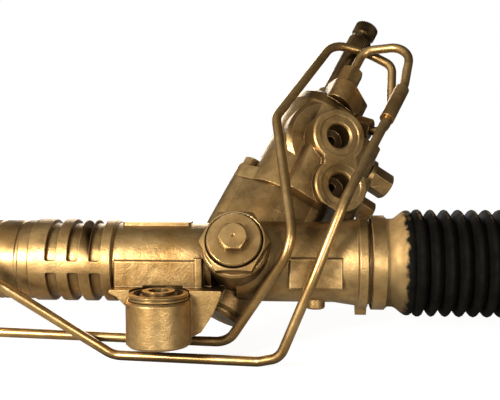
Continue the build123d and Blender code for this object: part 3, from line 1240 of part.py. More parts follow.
# ---------------------------------------------------------------- boots and clamps
def boot_folds():
    """The boot's outer outline from its first full fold to its small collar, as (along, radius)."""
    start = BOOT_START + BOOT_COLLAR_LENGTH
    outline = []
    for i in range(BOOT_FOLDS):
        tapered = max(0, i + 0.5 - (BOOT_FOLDS - BOOT_TAPER_FOLDS)) / BOOT_TAPER_FOLDS
        shrink = tapered * (BOOT_VALLEY - BOOT_SMALL_RADIUS - 3)
        low = start + i * BOOT_PITCH
        outline += [(low + BOOT_PITCH * 0.08, BOOT_VALLEY - shrink), (low + BOOT_PITCH * 0.38, BOOT_CREST - shrink),
                    (low + BOOT_PITCH * 0.62, BOOT_CREST - shrink), (low + BOOT_PITCH * 0.92, BOOT_VALLEY - shrink)]
    return outline


def boot_flare():
    """The boot's outer outline from its clamp seat to its first full fold, as (along, radius)."""
    seat_end = BOOT_START + CLAMP_WIDTH + BOOT_WALL
    step = (BOOT_START + BOOT_COLLAR_LENGTH - seat_end) / 11
    waist = SPIGOT_RADIUS + BOOT_WALL
    shoulder = BOOT_CREST - BOOT_WALL / 2
    dip = (BOOT_CREST + BOOT_VALLEY) / 2
    shape = [(0, BOOT_COLLAR_RADIUS), (0.4, waist), (2, waist), (5.2, shoulder), (6.5, shoulder), (7.4, dip),
             (8.5, BOOT_CREST), (9.4, BOOT_CREST)]
    return [(seat_end + step * steps, radius) for steps, radius in shape]


def boot(plane):
    """One rubber boot, from its collar on the spigot to its collar on the tie rod."""
    outer = boot_flare() + boot_folds()
    inner = [(along, radius - BOOT_WALL * 1.5) for along, radius in reversed(outer[3:])]
    slip_radius = BOOT_SEAT_RADIUS + BOOT_SLIP
    small_end = [(BOOT_END - BOOT_SMALL_LENGTH, BOOT_SMALL_RADIUS), (BOOT_END, BOOT_SMALL_RADIUS),
                 (BOOT_END, slip_radius), (BOOT_END - BOOT_SMALL_LENGTH, slip_radius)]
    large_end = [(outer[2][0] + BOOT_WALL, SPIGOT_RADIUS), (BOOT_START, SPIGOT_RADIUS),
                 (BOOT_START, BOOT_COLLAR_RADIUS)]
    return turned(plane, outer + small_end + inner + large_end)


def boot_clamp(plane):
    """The band clamp on a boot's large collar, with its crimped ear."""
    start = BOOT_START + 0.4
    band = ring(plane, start, start + CLAMP_WIDTH, CLAMP_RADIUS, BOOT_COLLAR_RADIUS)
    ear = moved(turned_about(plane, EAR_ANGLE), CLAMP_RADIUS + 1.2, 0, start + CLAMP_WIDTH / 2) * Box(
        3.4, 7, CLAMP_WIDTH)
    ear -= moved(turned_about(plane, EAR_ANGLE), CLAMP_RADIUS + 1.0, 0, start + CLAMP_WIDTH / 2) * Box(
        1.4, 5, CLAMP_WIDTH + 2)
    return band + ear


def small_clamp(plane):
    start = BOOT_END - BOOT_SMALL_LENGTH / 2 - SMALL_CLAMP_WIDTH / 2
    inner = BOOT_SMALL_RADIUS + BOOT_SLIP
    return ring(plane, start, start + SMALL_CLAMP_WIDTH, inner + 1.2, inner)


# ---------------------------------------------------------------- nodes
NODES = {
    "rack_housing": rack_housing,
    "cylinder_tube": cylinder_tube,
    "left_end_housing": left_end_housing,
    "inner_bulkhead": lambda: bulkhead(INNER_BULKHEAD_X, 1),
    "outer_bulkhead": lambda: bulkhead(OUTER_BULKHEAD_X, -1),
    "bulkhead_o_rings": lambda: grouped([bulkhead_o_ring(INNER_BULKHEAD_X, 1),
                                         bulkhead_o_ring(OUTER_BULKHEAD_X, -1)]),
    "rack_seals": lambda: grouped([rack_seal(INNER_BULKHEAD_X, 1), rack_seal(OUTER_BULKHEAD_X, -1)]),
    "left_rack_bush": left_rack_bush,
    "bush_shells": lambda: grouped([bush_shell(BOLT), bush_shell(LEFT_BOLT)]),
    "bush_rubbers": lambda: grouped([bush_rubber(BOLT), bush_rubber(LEFT_BOLT)]),
    "bush_sleeves": lambda: grouped([bush_sleeve(BOLT), bush_sleeve(LEFT_BOLT)]),
    "yoke": yoke,
    "yoke_liner": yoke_liner,
    "yoke_o_ring": yoke_o_ring,
    "yoke_spring": yoke_spring,
    "yoke_plug": yoke_plug,
    "yoke_locknut": yoke_locknut,
    "rack_bar": rack_bar,
    "lock_washers": lambda: grouped([lock_washer(RIGHT_END), lock_washer(LEFT_END)]),
    "piston": piston,
    "piston_ring": piston_ring,
    "pinion_gear": pinion_gear,
    "pinion_nut": pinion_nut,
    "bearing_outer_ring": bearing_outer_ring,
    "bearing_inner_ring": bearing_inner_ring,
    "bearing_balls": bearing_balls,
    "pinion_cap": pinion_cap,
    "upper_pinion_bush": upper_bush,
    "pinion_seal": pinion_seal,
    "housing_o_ring": housing_o_ring,
    "valve_housing": valve_housing,
    "valve_housing_screws": valve_housing_screws,
    "port_plugs": port_plugs,
    "valve_sleeve": valve_sleeve,
    "valve_sleeve_rings": valve_sleeve_rings,
    "input_shaft": input_shaft,
    "torsion_bar": torsion_bar,
    "torsion_pin": torsion_pin,
    "input_bearing": input_bearing,
    "input_seal": input_seal,
    "input_dust_cap": input_dust_cap,
    "upper_line": upper_line,
    "lower_line": lower_line,
    "tube_nuts": tube_nuts,
    "line_sleeve": line_sleeve,
}
for side, end in (("right", RIGHT_END), ("left", LEFT_END)):
    for name, maker in (("socket", socket_housing), ("ball_seat", ball_seat), ("tie_rod", tie_rod),
                        ("jam_nut", jam_nut), ("boot", boot), ("boot_clamp", boot_clamp),
                        ("boot_small_clamp", small_clamp)):
        NODES[f"{side}_{name}"] = lambda maker=maker, end=end: maker(end)

os.makedirs("parts", exist_ok=True)
for node, make in NODES.items():
    shape = make()
    shape.label = node
    export_step(shape, f"parts/{node}.step")
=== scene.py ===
# %% [markdown]
# # A power steering rack, dressed from its CAD model
#
# The rack is a casting with a cylinder crimped into it, a leaning valve tower, two bent steel
# lines and a rubber boot at each end.  The CAD model already has every hard part at its true
# size, so this file adds what CAD leaves out: finishes, soft rubber folds, and light.  All
# lengths are metres, in the same frame as the CAD model.

# %% Load the CAD model
import bmesh
import bpy
import math
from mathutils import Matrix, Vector


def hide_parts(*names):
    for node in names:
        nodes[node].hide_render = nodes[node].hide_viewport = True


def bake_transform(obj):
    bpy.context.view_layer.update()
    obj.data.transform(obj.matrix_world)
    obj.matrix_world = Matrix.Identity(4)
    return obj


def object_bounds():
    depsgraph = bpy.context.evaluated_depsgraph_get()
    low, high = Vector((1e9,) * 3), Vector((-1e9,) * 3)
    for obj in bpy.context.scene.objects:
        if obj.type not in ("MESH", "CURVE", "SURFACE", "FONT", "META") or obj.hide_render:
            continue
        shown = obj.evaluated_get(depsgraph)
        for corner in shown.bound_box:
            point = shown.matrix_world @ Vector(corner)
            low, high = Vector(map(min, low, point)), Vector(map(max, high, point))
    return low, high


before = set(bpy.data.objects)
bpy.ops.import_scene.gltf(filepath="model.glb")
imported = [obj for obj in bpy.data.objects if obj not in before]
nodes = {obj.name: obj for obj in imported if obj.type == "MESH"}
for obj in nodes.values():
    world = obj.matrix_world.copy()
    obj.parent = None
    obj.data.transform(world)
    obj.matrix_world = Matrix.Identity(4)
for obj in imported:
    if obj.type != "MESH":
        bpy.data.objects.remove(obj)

cad_low, cad_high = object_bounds()
print("CAD nodes:", len(nodes), "size:", [round(b - a, 3) for a, b in zip(cad_low, cad_high)])

# %% [markdown]
# ## Camera
#
# A lens of 55 mm on a 36 mm sensor gives a natural view of the pinion end from half a metre.
# The camera is turned a little to the left and tipped down, so the pinion tower leans to the
# right and the tops of the round parts show.

# %% Camera
CAMERA_AT = Vector((0.0882, -0.460, 0.1171))
CAMERA_LEFT = math.radians(4.0)
CAMERA_DOWN = math.radians(3.3)

camera_data = bpy.data.cameras.new("rack_camera")
camera_data.lens = 55.3
camera_data.sensor_width = 36
camera_data.clip_start = 0.02
camera_data.clip_end = 60
camera = bpy.data.objects.new("rack_camera", camera_data)
bpy.context.scene.collection.objects.link(camera)
camera.location = CAMERA_AT
camera.rotation_euler = (math.pi / 2 - CAMERA_DOWN, 0, CAMERA_LEFT)
bpy.context.scene.camera = camera
bpy.context.scene.view_settings.view_transform = "Standard"

# %% [markdown]
# ## Node helpers
#
# Every finish here is procedural: noise and geometry drive colour, roughness and bump.  Wiring
# nodes by hand is wordy, so `add_node` makes a node and sets its inputs, and a value that is
# itself an output gets linked instead of set.  `Finish` keeps one material's tree and its
# Principled shader.

# %% Node helpers
def put(tree, socket, value):
    """Links an output to a socket, or sets the socket's own value."""
    if isinstance(value, bpy.types.NodeSocket):
        tree.links.new(value, socket)
    else:
        socket.default_value = value


def add_node(tree, kind, inputs=(), **settings):
    node = tree.nodes.new(kind)
    for key, value in settings.items():
        setattr(node, key, value)
    for key, value in dict(inputs).items():
        put(tree, node.inputs[key], value)
    return node


class Finish:
    """One material with its node tree and Principled shader."""

    def __init__(self, name, metallic, roughness):
        self.material = bpy.data.materials.new(name)
        self.material.use_nodes = True
        self.tree = self.material.node_tree
        self.shader = self.tree.nodes["Principled BSDF"]
        self.shader.inputs["Metallic"].default_value = metallic
        self.shader.inputs["Roughness"].default_value = roughness
        self.place = self.add("ShaderNodeTexCoord").outputs["Object"]

    def add(self, kind, inputs=(), **settings):
        return add_node(self.tree, kind, inputs, **settings)

    def put(self, socket, value):
        put(self.tree, socket, value)

    def noise(self, size, detail=2.0, rough=0.5, place=None):
        """Noise whose features are about `size` metres across."""
        return self.add("ShaderNodeTexNoise", {"Vector": place or self.place, "Scale": 1 / size,
                                               "Detail": detail, "Roughness": rough}).outputs["Fac"]

    def spread(self, value, low, high, to_low=0.0, to_high=1.0):
        """A value taken from one range to another, clamped."""
        return self.add("ShaderNodeMapRange", {"Value": value, "From Min": low, "From Max": high,
                                               "To Min": to_low, "To Max": to_high}).outputs["Result"]

    def combine(self, operation, a, b):
        return self.add("ShaderNodeMath", {0: a, 1: b}, operation=operation).outputs[0]

    def mix(self, share, a, b):
        """The colour `a` gives way to `b` as `share` goes from 0 to 1."""
        node = self.add("ShaderNodeMix", {"Factor": share}, data_type="RGBA")
        self.put(node.inputs[6], a)
        self.put(node.inputs[7], b)
        return node.outputs[2]

    def bump(self, height, depth, normal=None):
        made = self.add("ShaderNodeBump", {"Height": height, "Distance": depth, "Strength": 1.0})
        if normal:
            self.put(made.inputs["Normal"], normal)
        return made.outputs["Normal"]

    def finish(self, colour, normal=None, roughness=None):
        self.put(self.shader.inputs["Base Color"], colour)
        if normal:
            self.put(self.shader.inputs["Normal"], normal)
        if roughness:
            self.put(self.shader.inputs["Roughness"], roughness)
        return self.material


def colour(red, green, blue):
    return (red, green, blue, 1)


# %% [markdown]
# ## Satin bronze paint
#
# The whole gear was sprayed with one coat of warm metallic paint.  On sand-cast metal the coat
# keeps the grain of the mould.  Corners are painted darker, a painted shade with some dirt, and
# edges are painted pale, a painted highlight with some wear.  Noises give the patches, smudges
# and specks, ambient occlusion finds the corners for the painted shade, a fine noise gives the
# grain, and a Bevel node rounds the CAD model's knife edges so that they catch the light, and
# finds the edges for the painted highlight.  On the castings, a band at the pinion tower's height
# is painted darker, as painted shade.

# %% Satin bronze paint
PALE_BRONZE = colour(0.56, 0.365, 0.15)
MID_BRONZE = colour(0.33, 0.188, 0.06)
DEEP_BRONZE = colour(0.035, 0.018, 0.006)
# Edges are painted in this pale colour: a painted highlight, together with some wear.
EDGE_HIGHLIGHT_BRONZE = colour(0.80, 0.56, 0.26)

TOWER_SHADE_HEIGHTS = (0.072, 0.092)    # painted shade: the coat on the castings is darker between these heights
CORNER_SHADE_REACH = 0.018                 # corners get painted shade and some dirt as far as this from their depth
SPECK_SIZE = 0.0009
PATCH_SIZE = 0.035


def bronze_paint(name, grain_size, grain_depth, lump_depth, edge_radius, roughness, darker_by=0.0, tower_shade=0.0):
    """Metallic paint over a surface whose grain is that size and depth; `darker_by` darkens the whole coat
    evenly, and `tower_shade` paints shade on the castings between two heights.
    """
    paint = Finish(name, 0.9, roughness)
    patches = paint.spread(paint.noise(PATCH_SIZE, 5, 0.6), 0.35, 0.68)
    shade = paint.mix(patches, MID_BRONZE, PALE_BRONZE)
    smudges = paint.spread(paint.noise(0.011, 4, 0.6), 0.5, 0.72, darker_by, darker_by + 0.4)
    shade = paint.mix(smudges, shade, DEEP_BRONZE)
    specks = paint.spread(paint.noise(SPECK_SIZE, 3), 0.58, 0.75, 0, 0.35)
    shade = paint.mix(specks, shade, DEEP_BRONZE)
    # Painted shade: the coat is darker between two heights, where the castings' pinion tower stands.
    height = paint.add("ShaderNodeSeparateXYZ", {0: paint.place}).outputs["Z"]
    shade = paint.mix(paint.spread(height, *TOWER_SHADE_HEIGHTS, 0, tower_shade), shade, DEEP_BRONZE)
    # Painted shade: ambient occlusion darkens corners and recesses, together with some dirt.
    hollow = paint.add("ShaderNodeAmbientOcclusion", {"Distance": CORNER_SHADE_REACH}, samples=8).outputs["AO"]
    corner_shade_and_grime = paint.spread(hollow, 0.3, 0.95, 0.95, 0)
    shade = paint.mix(corner_shade_and_grime, shade, DEEP_BRONZE)
    rounded = paint.add("ShaderNodeBevel", {"Radius": edge_radius}, samples=4).outputs["Normal"]
    flat = paint.add("ShaderNodeNewGeometry").outputs["Normal"]
    turn = paint.add("ShaderNodeVectorMath", {0: rounded, 1: flat}, operation="DOT_PRODUCT").outputs["Value"]
    # Painted highlight: edges that the Bevel node finds are painted pale, together with some wear.
    worn = paint.spread(turn, 0.99, 0.9, 0, 0.5)
    shade = paint.mix(worn, shade, EDGE_HIGHLIGHT_BRONZE)
    lumps = paint.bump(paint.noise(0.006, 3), lump_depth, rounded)
    grain = paint.bump(paint.noise(grain_size, 2), grain_depth, lumps)
    gloss = paint.spread(paint.noise(0.012, 4), 0.3, 0.7, roughness - 0.08, roughness + 0.06)
    return paint.finish(shade, grain, gloss)


SAND_CAST = {"grain_size": 0.0011, "grain_depth": 0.00012, "lump_depth": 0.0003, "edge_radius": 0.0009}
# The castings carry the painted shade at the pinion tower.
cast_paint = bronze_paint("cast_bronze_paint", **SAND_CAST, roughness=0.40, tower_shade=0.45)
valve_paint = bronze_paint("darker_bronze_paint", **SAND_CAST, roughness=0.38, darker_by=0.04)
smooth_paint = bronze_paint("smooth_bronze_paint", grain_size=0.0016, grain_depth=0.00003, lump_depth=0.0001,
                            edge_radius=0.0003, roughness=0.36)
line_paint = bronze_paint("line_bronze_paint", grain_size=0.0014, grain_depth=0.00003, lump_depth=0.0001,
                          edge_radius=0.0002, roughness=0.34)

# %% [markdown]
# ## Bare metals
#
# The rack, pinion and rods are turned or ground, so their grain runs round them.  A noise that
# is squeezed along the part gives fine turning rings.  Their warm colour is partly the oil film
# and partly a painted reflection of the bronze paint beside them.

# %% Bare metals
def turned_metal(name, pale, dark, roughness, ring_depth):
    metal = Finish(name, 1.0, roughness)
    squeezed = metal.add("ShaderNodeMapping", {"Vector": metal.place, "Scale": (1, 0.04, 0.04)}).outputs[0]
    rings = metal.noise(0.0006, 3, 0.6, squeezed)
    stains = metal.spread(metal.noise(0.02, 4), 0.4, 0.75)
    shade = metal.mix(stains, pale, dark)
    shade = metal.mix(metal.spread(rings, 0.45, 0.75, 0, 0.4), shade, dark)
    gloss = metal.spread(metal.noise(0.008, 3), 0.3, 0.7, roughness - 0.08, roughness + 0.12)
    rounded = metal.add("ShaderNodeBevel", {"Radius": 0.0003}, samples=4).outputs["Normal"]
    return metal.finish(shade, metal.bump(rings, ring_depth, rounded), gloss)


steel = turned_metal("oiled_steel", colour(0.52, 0.46, 0.38), colour(0.3, 0.24, 0.17), 0.32, 0.00002)
dark_steel = turned_metal("stained_steel", colour(0.24, 0.15, 0.065), colour(0.05, 0.03, 0.012), 0.34, 0.00002)
alloy = turned_metal("machined_alloy", colour(0.7, 0.68, 0.64), colour(0.5, 0.47, 0.42), 0.35, 0.00002)
bronze = turned_metal("sintered_bronze", colour(0.66, 0.42, 0.2), colour(0.36, 0.2, 0.08), 0.4, 0.00002)

# %% [markdown]
# ## Rubber and plastic
#
# Rubber is nearly black, matt, and a little dusty.  The boots also caught the edge of the spray:
# their flared mouths are coated as far as the first fold, and the next crests are dusted from
# above.  The amount of paint is worked out from where a point lies along the rack and how far
# its surface faces up, so it needs no painted map.

# %% Rubber and plastic
RIGHT_MASK_ENDS = (0.1505, 0.1525)      # the paint on the boots' mouths stops between these X
LEFT_MASK_ENDS = (-0.3897, -0.3917)
RAGGED = 0.0012                         # how far the paint's edge wanders


def overspray(rubber):
    """How much paint lies on the boots: full on the mouth, then a dusting on the crests."""
    along = rubber.add("ShaderNodeSeparateXYZ", {0: rubber.place}).outputs["X"]
    ragged = rubber.combine("ADD", along, rubber.spread(rubber.noise(0.004, 3), 0.3, 0.7, -RAGGED, RAGGED))
    right = rubber.spread(ragged, *RIGHT_MASK_ENDS, 1, 0)
    left = rubber.spread(ragged, *LEFT_MASK_ENDS, 1, 0)
    mouth = rubber.combine("MULTIPLY", right, rubber.spread(along, 0, 0.001))
    mouth = rubber.combine("ADD", mouth, rubber.combine("MULTIPLY", left, rubber.spread(along, 0, -0.001)))
    facing = rubber.add("ShaderNodeNewGeometry").outputs["Normal"]
    up = rubber.add("ShaderNodeSeparateXYZ", {0: facing}).outputs["Z"]
    # Painted shade: the mouth's paint fades on faces that point down, so its lower side shows dark rubber.
    mouth = rubber.combine("MULTIPLY", mouth, rubber.spread(up, -0.5, 0.35, 0.2, 1))
    speckle = rubber.spread(rubber.noise(0.003, 4), 0.42, 0.6)
    dust = rubber.combine("MULTIPLY", rubber.spread(up, 0.8, 1.0, 0, 0.35), speckle)
    return rubber.combine("MAXIMUM", mouth, dust)


def dark_rubber(name, coated):
    rubber = Finish(name, 0.0, 0.8)
    rubber.shader.inputs["Specular IOR Level"].default_value = 0.06
    cloudy = rubber.spread(rubber.noise(0.01, 4), 0.35, 0.7)
    shade = rubber.mix(cloudy, colour(0.002, 0.0017, 0.0012), colour(0.006, 0.005, 0.0035))
    gloss = rubber.spread(rubber.noise(0.006, 3), 0.3, 0.7, 0.6, 0.85)
    skin = rubber.bump(rubber.noise(0.0012, 3), 0.00005)
    if coated:
        paint = overspray(rubber)
        sprayed = rubber.mix(rubber.combine("MULTIPLY", cloudy, 0.35), PALE_BRONZE, DEEP_BRONZE)
        shade = rubber.mix(paint, shade, sprayed)
        rubber.put(rubber.shader.inputs["Metallic"], rubber.combine("MULTIPLY", paint, 0.85))
    return rubber.finish(shade, skin, gloss)


boot_rubber = dark_rubber("boot_rubber", True)
plain_rubber = dark_rubber("seal_rubber", False)

bush_rubber = Finish("sprayed_bush_rubber", 0.2, 0.6)
sprayed = bush_rubber.spread(bush_rubber.noise(0.004, 4), 0.35, 0.6)
bush_rubber.finish(bush_rubber.mix(sprayed, colour(0.05, 0.035, 0.02), MID_BRONZE),
                   bush_rubber.bump(bush_rubber.noise(0.001, 3), 0.0001))

plastic = Finish("ivory_nylon", 0.0, 0.45)
plastic.finish(plastic.mix(plastic.noise(0.006, 4), colour(0.62, 0.58, 0.46), colour(0.76, 0.73, 0.62)),
               plastic.bump(plastic.noise(0.0008, 2), 0.00003))

# %% [markdown]
# ## Who wears what
#
# Each CAD node takes one finish.  A node's own slot is emptied first, because the CAD model
# comes with a plain colour.

# %% Who wears what
FINISHES = {
    cast_paint: ["rack_housing", "left_end_housing"],
    valve_paint: ["valve_housing", "port_plugs"],
    smooth_paint: ["cylinder_tube", "yoke_plug", "yoke_locknut", "pinion_cap", "valve_housing_screws",
                   "bush_shells", "bush_sleeves", "right_boot_clamp", "left_boot_clamp", "line_sleeve"],
    line_paint: ["upper_line", "lower_line", "tube_nuts"],
    dark_steel: ["input_shaft", "torsion_bar", "torsion_pin"],
    steel: ["inner_bulkhead", "outer_bulkhead", "yoke_spring", "rack_bar", "piston", "pinion_gear",
            "pinion_nut", "bearing_outer_ring", "bearing_inner_ring", "bearing_balls", "valve_sleeve",
            "input_bearing", "right_socket", "left_socket", "lock_washers", "right_tie_rod",
            "left_tie_rod", "right_jam_nut", "left_jam_nut", "right_boot_small_clamp",
            "left_boot_small_clamp"],
    alloy: ["yoke"],
    bronze: ["upper_pinion_bush"],
    boot_rubber: ["right_boot", "left_boot"],
    bush_rubber.material: ["bush_rubbers"],
    plain_rubber: ["bulkhead_o_rings", "rack_seals", "yoke_o_ring", "pinion_seal", "housing_o_ring",
                   "input_seal", "input_dust_cap"],
    plastic.material: ["right_ball_seat", "left_ball_seat", "yoke_liner", "piston_ring", "valve_sleeve_rings",
                       "left_rack_bush"],
}

for finish, names in FINISHES.items():
    for name in names:
        worn = nodes[name].data.materials
        worn.clear()
        worn.append(finish)
unfinished = sorted(set(nodes) - {name for names in FINISHES.values() for name in names})
print("nodes without a finish:", unfinished)

# %% [markdown]
# ## Rubber boots
#
# A boot is a thin tube with folds.  A cross-section is drawn as a closed line, the outer wall
# out and the inner wall back, and `bmesh.ops.spin` turns it round the rack's axis.
#
# When the rack slides, a real boot stretches or closes evenly, and when the tie rod swings it
# bends near the ball joint.  So the boot is made in stretches that meet in the valleys between
# folds; each stretch stays where it is built.

# %% Boot outline
RACK_LINE = (0.040, 0.048)          # Y and Z of the rack's axis
BOOT_PITCH = 0.0088
BOOT_FOLDS = 19
TAPERED_FOLDS = 6
BOOT_CREST = 0.0345
BOOT_VALLEY = 0.0290
BOOT_WALL = 0.0015
FOLDS_START = 0.0340                # from the boot's mouth to its first full fold
FOLD_STEPS = 8                      # points along one fold's outline
SMALL_RADIUS = 0.0095               # the small collar on the tie rod
SMALL_BORE = 0.0071
SMALL_LENGTH = 0.009
SMALL_STEP = 0.001                  # how abruptly the last fold meets the small collar
SPIGOT_BORE = 0.0271                # the mouth's inside, where it grips the spigot
SPIGOT_GRIP = 0.0155
LAST_VALLEY_RISE = 0.003            # the last valley stands this far above the small collar
MOUTH = [(0.0, 0.0294), (0.0095, 0.0294), (0.0099, 0.0287), (0.0112, 0.0284), (0.0140, 0.0285),
         (0.0158, 0.0293), (0.0180, 0.0311), (0.0198, 0.0326), (0.0213, 0.0335), (0.0228, 0.0339),
         (0.0242, 0.0337), (0.0252, 0.0329), (0.0261, 0.0321), (0.0268, 0.0324), (0.0278, 0.0338),
         (0.0290, 0.0345), (0.0304, 0.0345), (0.0316, 0.0337), (0.0328, 0.0314), (0.0340, 0.0290)]


def fold_points(index):
    """The outer outline of one fold, from valley to valley, with a round crest and sharp valleys."""
    points = []
    for step in range(FOLD_STEPS + 1):
        share = step / FOLD_STEPS
        along = FOLDS_START + (index + share) * BOOT_PITCH
        taper = max(0.0, index + share - (BOOT_FOLDS - TAPERED_FOLDS)) / TAPERED_FOLDS
        drop = taper * (BOOT_VALLEY - SMALL_RADIUS - LAST_VALLEY_RISE)
        rise = math.sin(math.pi * share) ** 1.15
        points.append((along, BOOT_VALLEY + (BOOT_CREST - BOOT_VALLEY) * rise - drop))
    return points


def stretch_outline(first, last):
    """The outer outline from fold `first` to before fold `last`; -1 is the mouth."""
    points = list(MOUTH) if first < 0 else fold_points(first)
    for index in range(max(first + 1, 0), last):
        points += fold_points(index)[1:]
    return points


# %% [markdown] Turning an outline into a stretch


def spun(name, outline, mouth_x, way):
    """A closed outline of (along, radius) turned round the rack, pointing the given way along X."""
    mesh = bpy.data.meshes.new(name)
    built = bmesh.new()
    corners = [built.verts.new((mouth_x + way * along, RACK_LINE[0], RACK_LINE[1] + radius))
               for along, radius in outline]
    edges = [built.edges.new((a, b)) for a, b in zip(corners, corners[1:] + corners[:1])]
    bmesh.ops.spin(built, geom=corners + edges, cent=(mouth_x, *RACK_LINE), axis=(1, 0, 0),
                   angle=2 * math.pi, steps=72, use_merge=True)
    bmesh.ops.recalc_face_normals(built, faces=built.faces)
    for face in built.faces:
        face.smooth = True
    for edge in built.edges:
        edge.smooth = len(edge.link_faces) != 2 or edge.calc_face_angle(0) < math.radians(50)
    built.to_mesh(mesh)
    built.free()
    piece = bpy.data.objects.new(name, mesh)
    bpy.context.scene.collection.objects.link(piece)
    return piece


def boot_stretch(side, mouth_x, way, number, first, last):
    outer = stretch_outline(first, last)
    inner = [(along, radius - BOOT_WALL) for along, radius in reversed(outer)]
    if first < 0:
        inner = [(along, max(radius, SPIGOT_BORE) if along < SPIGOT_GRIP else radius)
                 for along, radius in inner]
    if last == BOOT_FOLDS:
        end = outer[-1][0]
        outer = outer[:-1] + [(end, SMALL_RADIUS + 0.0008), (end + SMALL_STEP, SMALL_RADIUS),
                              (end + SMALL_LENGTH, SMALL_RADIUS), (end + SMALL_LENGTH, SMALL_BORE),
                              (end + SMALL_STEP, SMALL_BORE)]
        inner = inner[1:]
    piece = spun(f"{side}_boot_stretch_{number}", outer + inner, mouth_x, way)
    piece.data.materials.append(boot_rubber)
    return piece


# %% [markdown]
# The table below lists the stretches from the spigot to just beyond the ball joint, with the
# weights that would spread the rack's 70 mm of travel over their folds; nothing reads these
# weights.  Three folds then make the stretch at the ball joint's seat, and the rest of the boot
# makes the stretch out to the tie rod.

# %% Both boots
SLIDE_STRETCHES = [(-1, 0, 0.0, 0.12), (0, 3, 0.12, 0.384), (3, 6, 0.384, 0.648), (6, 8, 0.648, 0.824),
                   (8, 10, 0.824, 1.0)]
EASE_START = 0.0118
SEAT_FOLDS = (10, 13)


def station(mouth_x, way, fold):
    return mouth_x + way * (FOLDS_START + fold * BOOT_PITCH)


def blended(piece, bodies, low_x, high_x, weights=(0.0, 1.0)):
    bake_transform(piece)


def boot(side, mouth_x, way):
    made = []
    for number, (first, last, low_weight, high_weight) in enumerate(SLIDE_STRETCHES):
        piece = boot_stretch(side, mouth_x, way, number, first, last)
        low_x = mouth_x + way * EASE_START if first < 0 else station(mouth_x, way, first)
        blended(piece, ("housing", "rack"), low_x, station(mouth_x, way, last), (low_weight, high_weight))
        made.append(piece)
    seat = boot_stretch(side, mouth_x, way, len(made), *SEAT_FOLDS)
    blended(seat, ("rack", side + "_seat"), *(station(mouth_x, way, fold) for fold in SEAT_FOLDS))
    tail = boot_stretch(side, mouth_x, way, len(made) + 1, SEAT_FOLDS[1], BOOT_FOLDS)
    blended(tail, (side + "_seat", side + "_tie_rod"), station(mouth_x, way, SEAT_FOLDS[1]),
            station(mouth_x, way, BOOT_FOLDS))
    made += [seat, tail]
    for piece in made:
        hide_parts(side + "_boot")
    print(side, "boot:", len(made), "stretches,", sum(len(p.data.polygons) for p in made), "faces")


RIGHT_MOUTH_X = 0.1312
LEFT_MOUTH_X = -0.3704
boot("right", RIGHT_MOUTH_X, 1)
boot("left", LEFT_MOUTH_X, -1)

# %% [markdown]
# ## Floor
#
# The gear rests on a plain pale floor.  Near the gear the floor keeps a soft shadow, and further
# out it glows for the camera, so it runs into the white background without a horizon.

# %% Floor
FLOOR_HALF = 12
FLOOR_GAP = 0.0005
GLOW_STARTS, GLOW_WHOLE = 0.25, 1.6     # distances from the pinion-end mount

floor_mesh = bpy.data.meshes.new("studio_floor")
built = bmesh.new()
bmesh.ops.create_grid(built, x_segments=1, y_segments=1, size=FLOOR_HALF)
bmesh.ops.translate(built, verts=built.verts, vec=(0, 0, cad_low.z - FLOOR_GAP))
built.to_mesh(floor_mesh)
built.free()
studio_floor = bpy.data.objects.new("studio_floor", floor_mesh)
bpy.context.scene.collection.objects.link(studio_floor)

ground = Finish("pale_floor", 0.0, 0.9)
away = ground.add("ShaderNodeVectorMath", {0: ground.place}, operation="LENGTH").outputs["Value"]
seen = ground.add("ShaderNodeLightPath").outputs["Is Camera Ray"]
glow = ground.combine("MULTIPLY", ground.spread(away, GLOW_STARTS, GLOW_WHOLE, 0.8, 1.0), seen)
ground.put(ground.shader.inputs["Emission Color"], colour(1, 1, 1))
ground.put(ground.shader.inputs["Emission Strength"], glow)
ground.shader.inputs["Specular IOR Level"].default_value = 0.0
floor_mesh.materials.append(ground.finish(ground.mix(ground.noise(0.2, 2), colour(0.47, 0.47, 0.46),
                                                     colour(0.5, 0.5, 0.49))))

# %% [markdown]
# ## Light
#
# A lamp low on the left makes the long highlights on the cylinder and leaves the port faces in
# half shade.  A weaker one in front on the right opens the shadows, and one behind lights the
# back and picks out the outline.  The world is white to the eye and dim as a lamp.  Metallic
# paint shows what stands round it, so reflections see one bright wall, on the lamp's side, that
# fades to dark elsewhere.

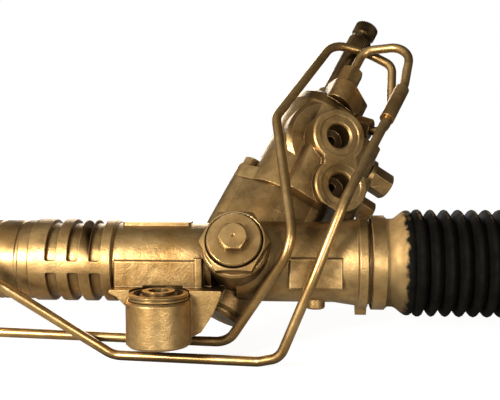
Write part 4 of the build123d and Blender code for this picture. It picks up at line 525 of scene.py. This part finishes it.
# %% Light
def soft_lamp(name, at, aim, size, power, tint):
    data = bpy.data.lights.new(name, "AREA")
    data.shape = "DISK"
    data.size = size
    data.energy = power
    data.color = tint
    lamp = bpy.data.objects.new(name, data)
    bpy.context.scene.collection.objects.link(lamp)
    lamp.location = at
    lamp.rotation_euler = (Vector(aim) - Vector(at)).to_track_quat("-Z", "Y").to_euler()


MIDDLE = (0.08, 0.03, 0.06)
soft_lamp("key_lamp", (-0.40, -0.64, 0.24), MIDDLE, 0.2, 10.5, (1.0, 0.97, 0.92))
soft_lamp("fill_lamp", (0.46, -0.80, 0.14), MIDDLE, 0.4, 4.2, (1.0, 0.98, 0.95))
soft_lamp("back_lamp", (-0.1, 1.0, 0.45), (-0.1, 0.03, 0.06), 0.7, 6.0, (1.0, 0.98, 0.95))

WORLD_LAMP = 0.07                   # how strongly the world lights the gear
BRIGHT_SIDE = (-0.72, -0.68, 0.12)  # where the studio's white wall stands
DARK_WALL = 0.04

world = bpy.data.worlds.new("studio_world")
bpy.context.scene.world = world
world.use_nodes = True
tree = world.node_tree
sky = tree.nodes["Background"]
sky.inputs["Color"].default_value = colour(1, 1, 1)


path = add_node(tree, "ShaderNodeLightPath").outputs
direction = add_node(tree, "ShaderNodeTexCoord").outputs["Generated"]
facing = add_node(tree, "ShaderNodeVectorMath", {0: direction, 1: BRIGHT_SIDE},
                  operation="DOT_PRODUCT").outputs["Value"]
wall = add_node(tree, "ShaderNodeMapRange", {"Value": facing, "From Min": 0.05, "From Max": 0.97,
                                             "To Min": DARK_WALL, "To Max": 1.0}).outputs["Result"]


def world_math(operation, a, b):
    return add_node(tree, "ShaderNodeMath", {0: a, 1: b}, operation=operation).outputs[0]


mirrored = world_math("MAXIMUM", path["Is Glossy Ray"], path["Is Transmission Ray"])
mirrored = world_math("MULTIPLY", mirrored, wall)
shown = world_math("MAXIMUM", path["Is Camera Ray"], mirrored)
level = world_math("MAXIMUM", shown, WORLD_LAMP)
tree.links.new(level, sky.inputs["Strength"])

# %% [markdown]
# ## The CAD model's box
#
# The CAD model's box is printed before the script ends. The dressed gear has to stay inside the
# CAD model's box.

# %% Sizes
print("CAD box:", [round(v, 4) for v in (*cad_low, *cad_high)])
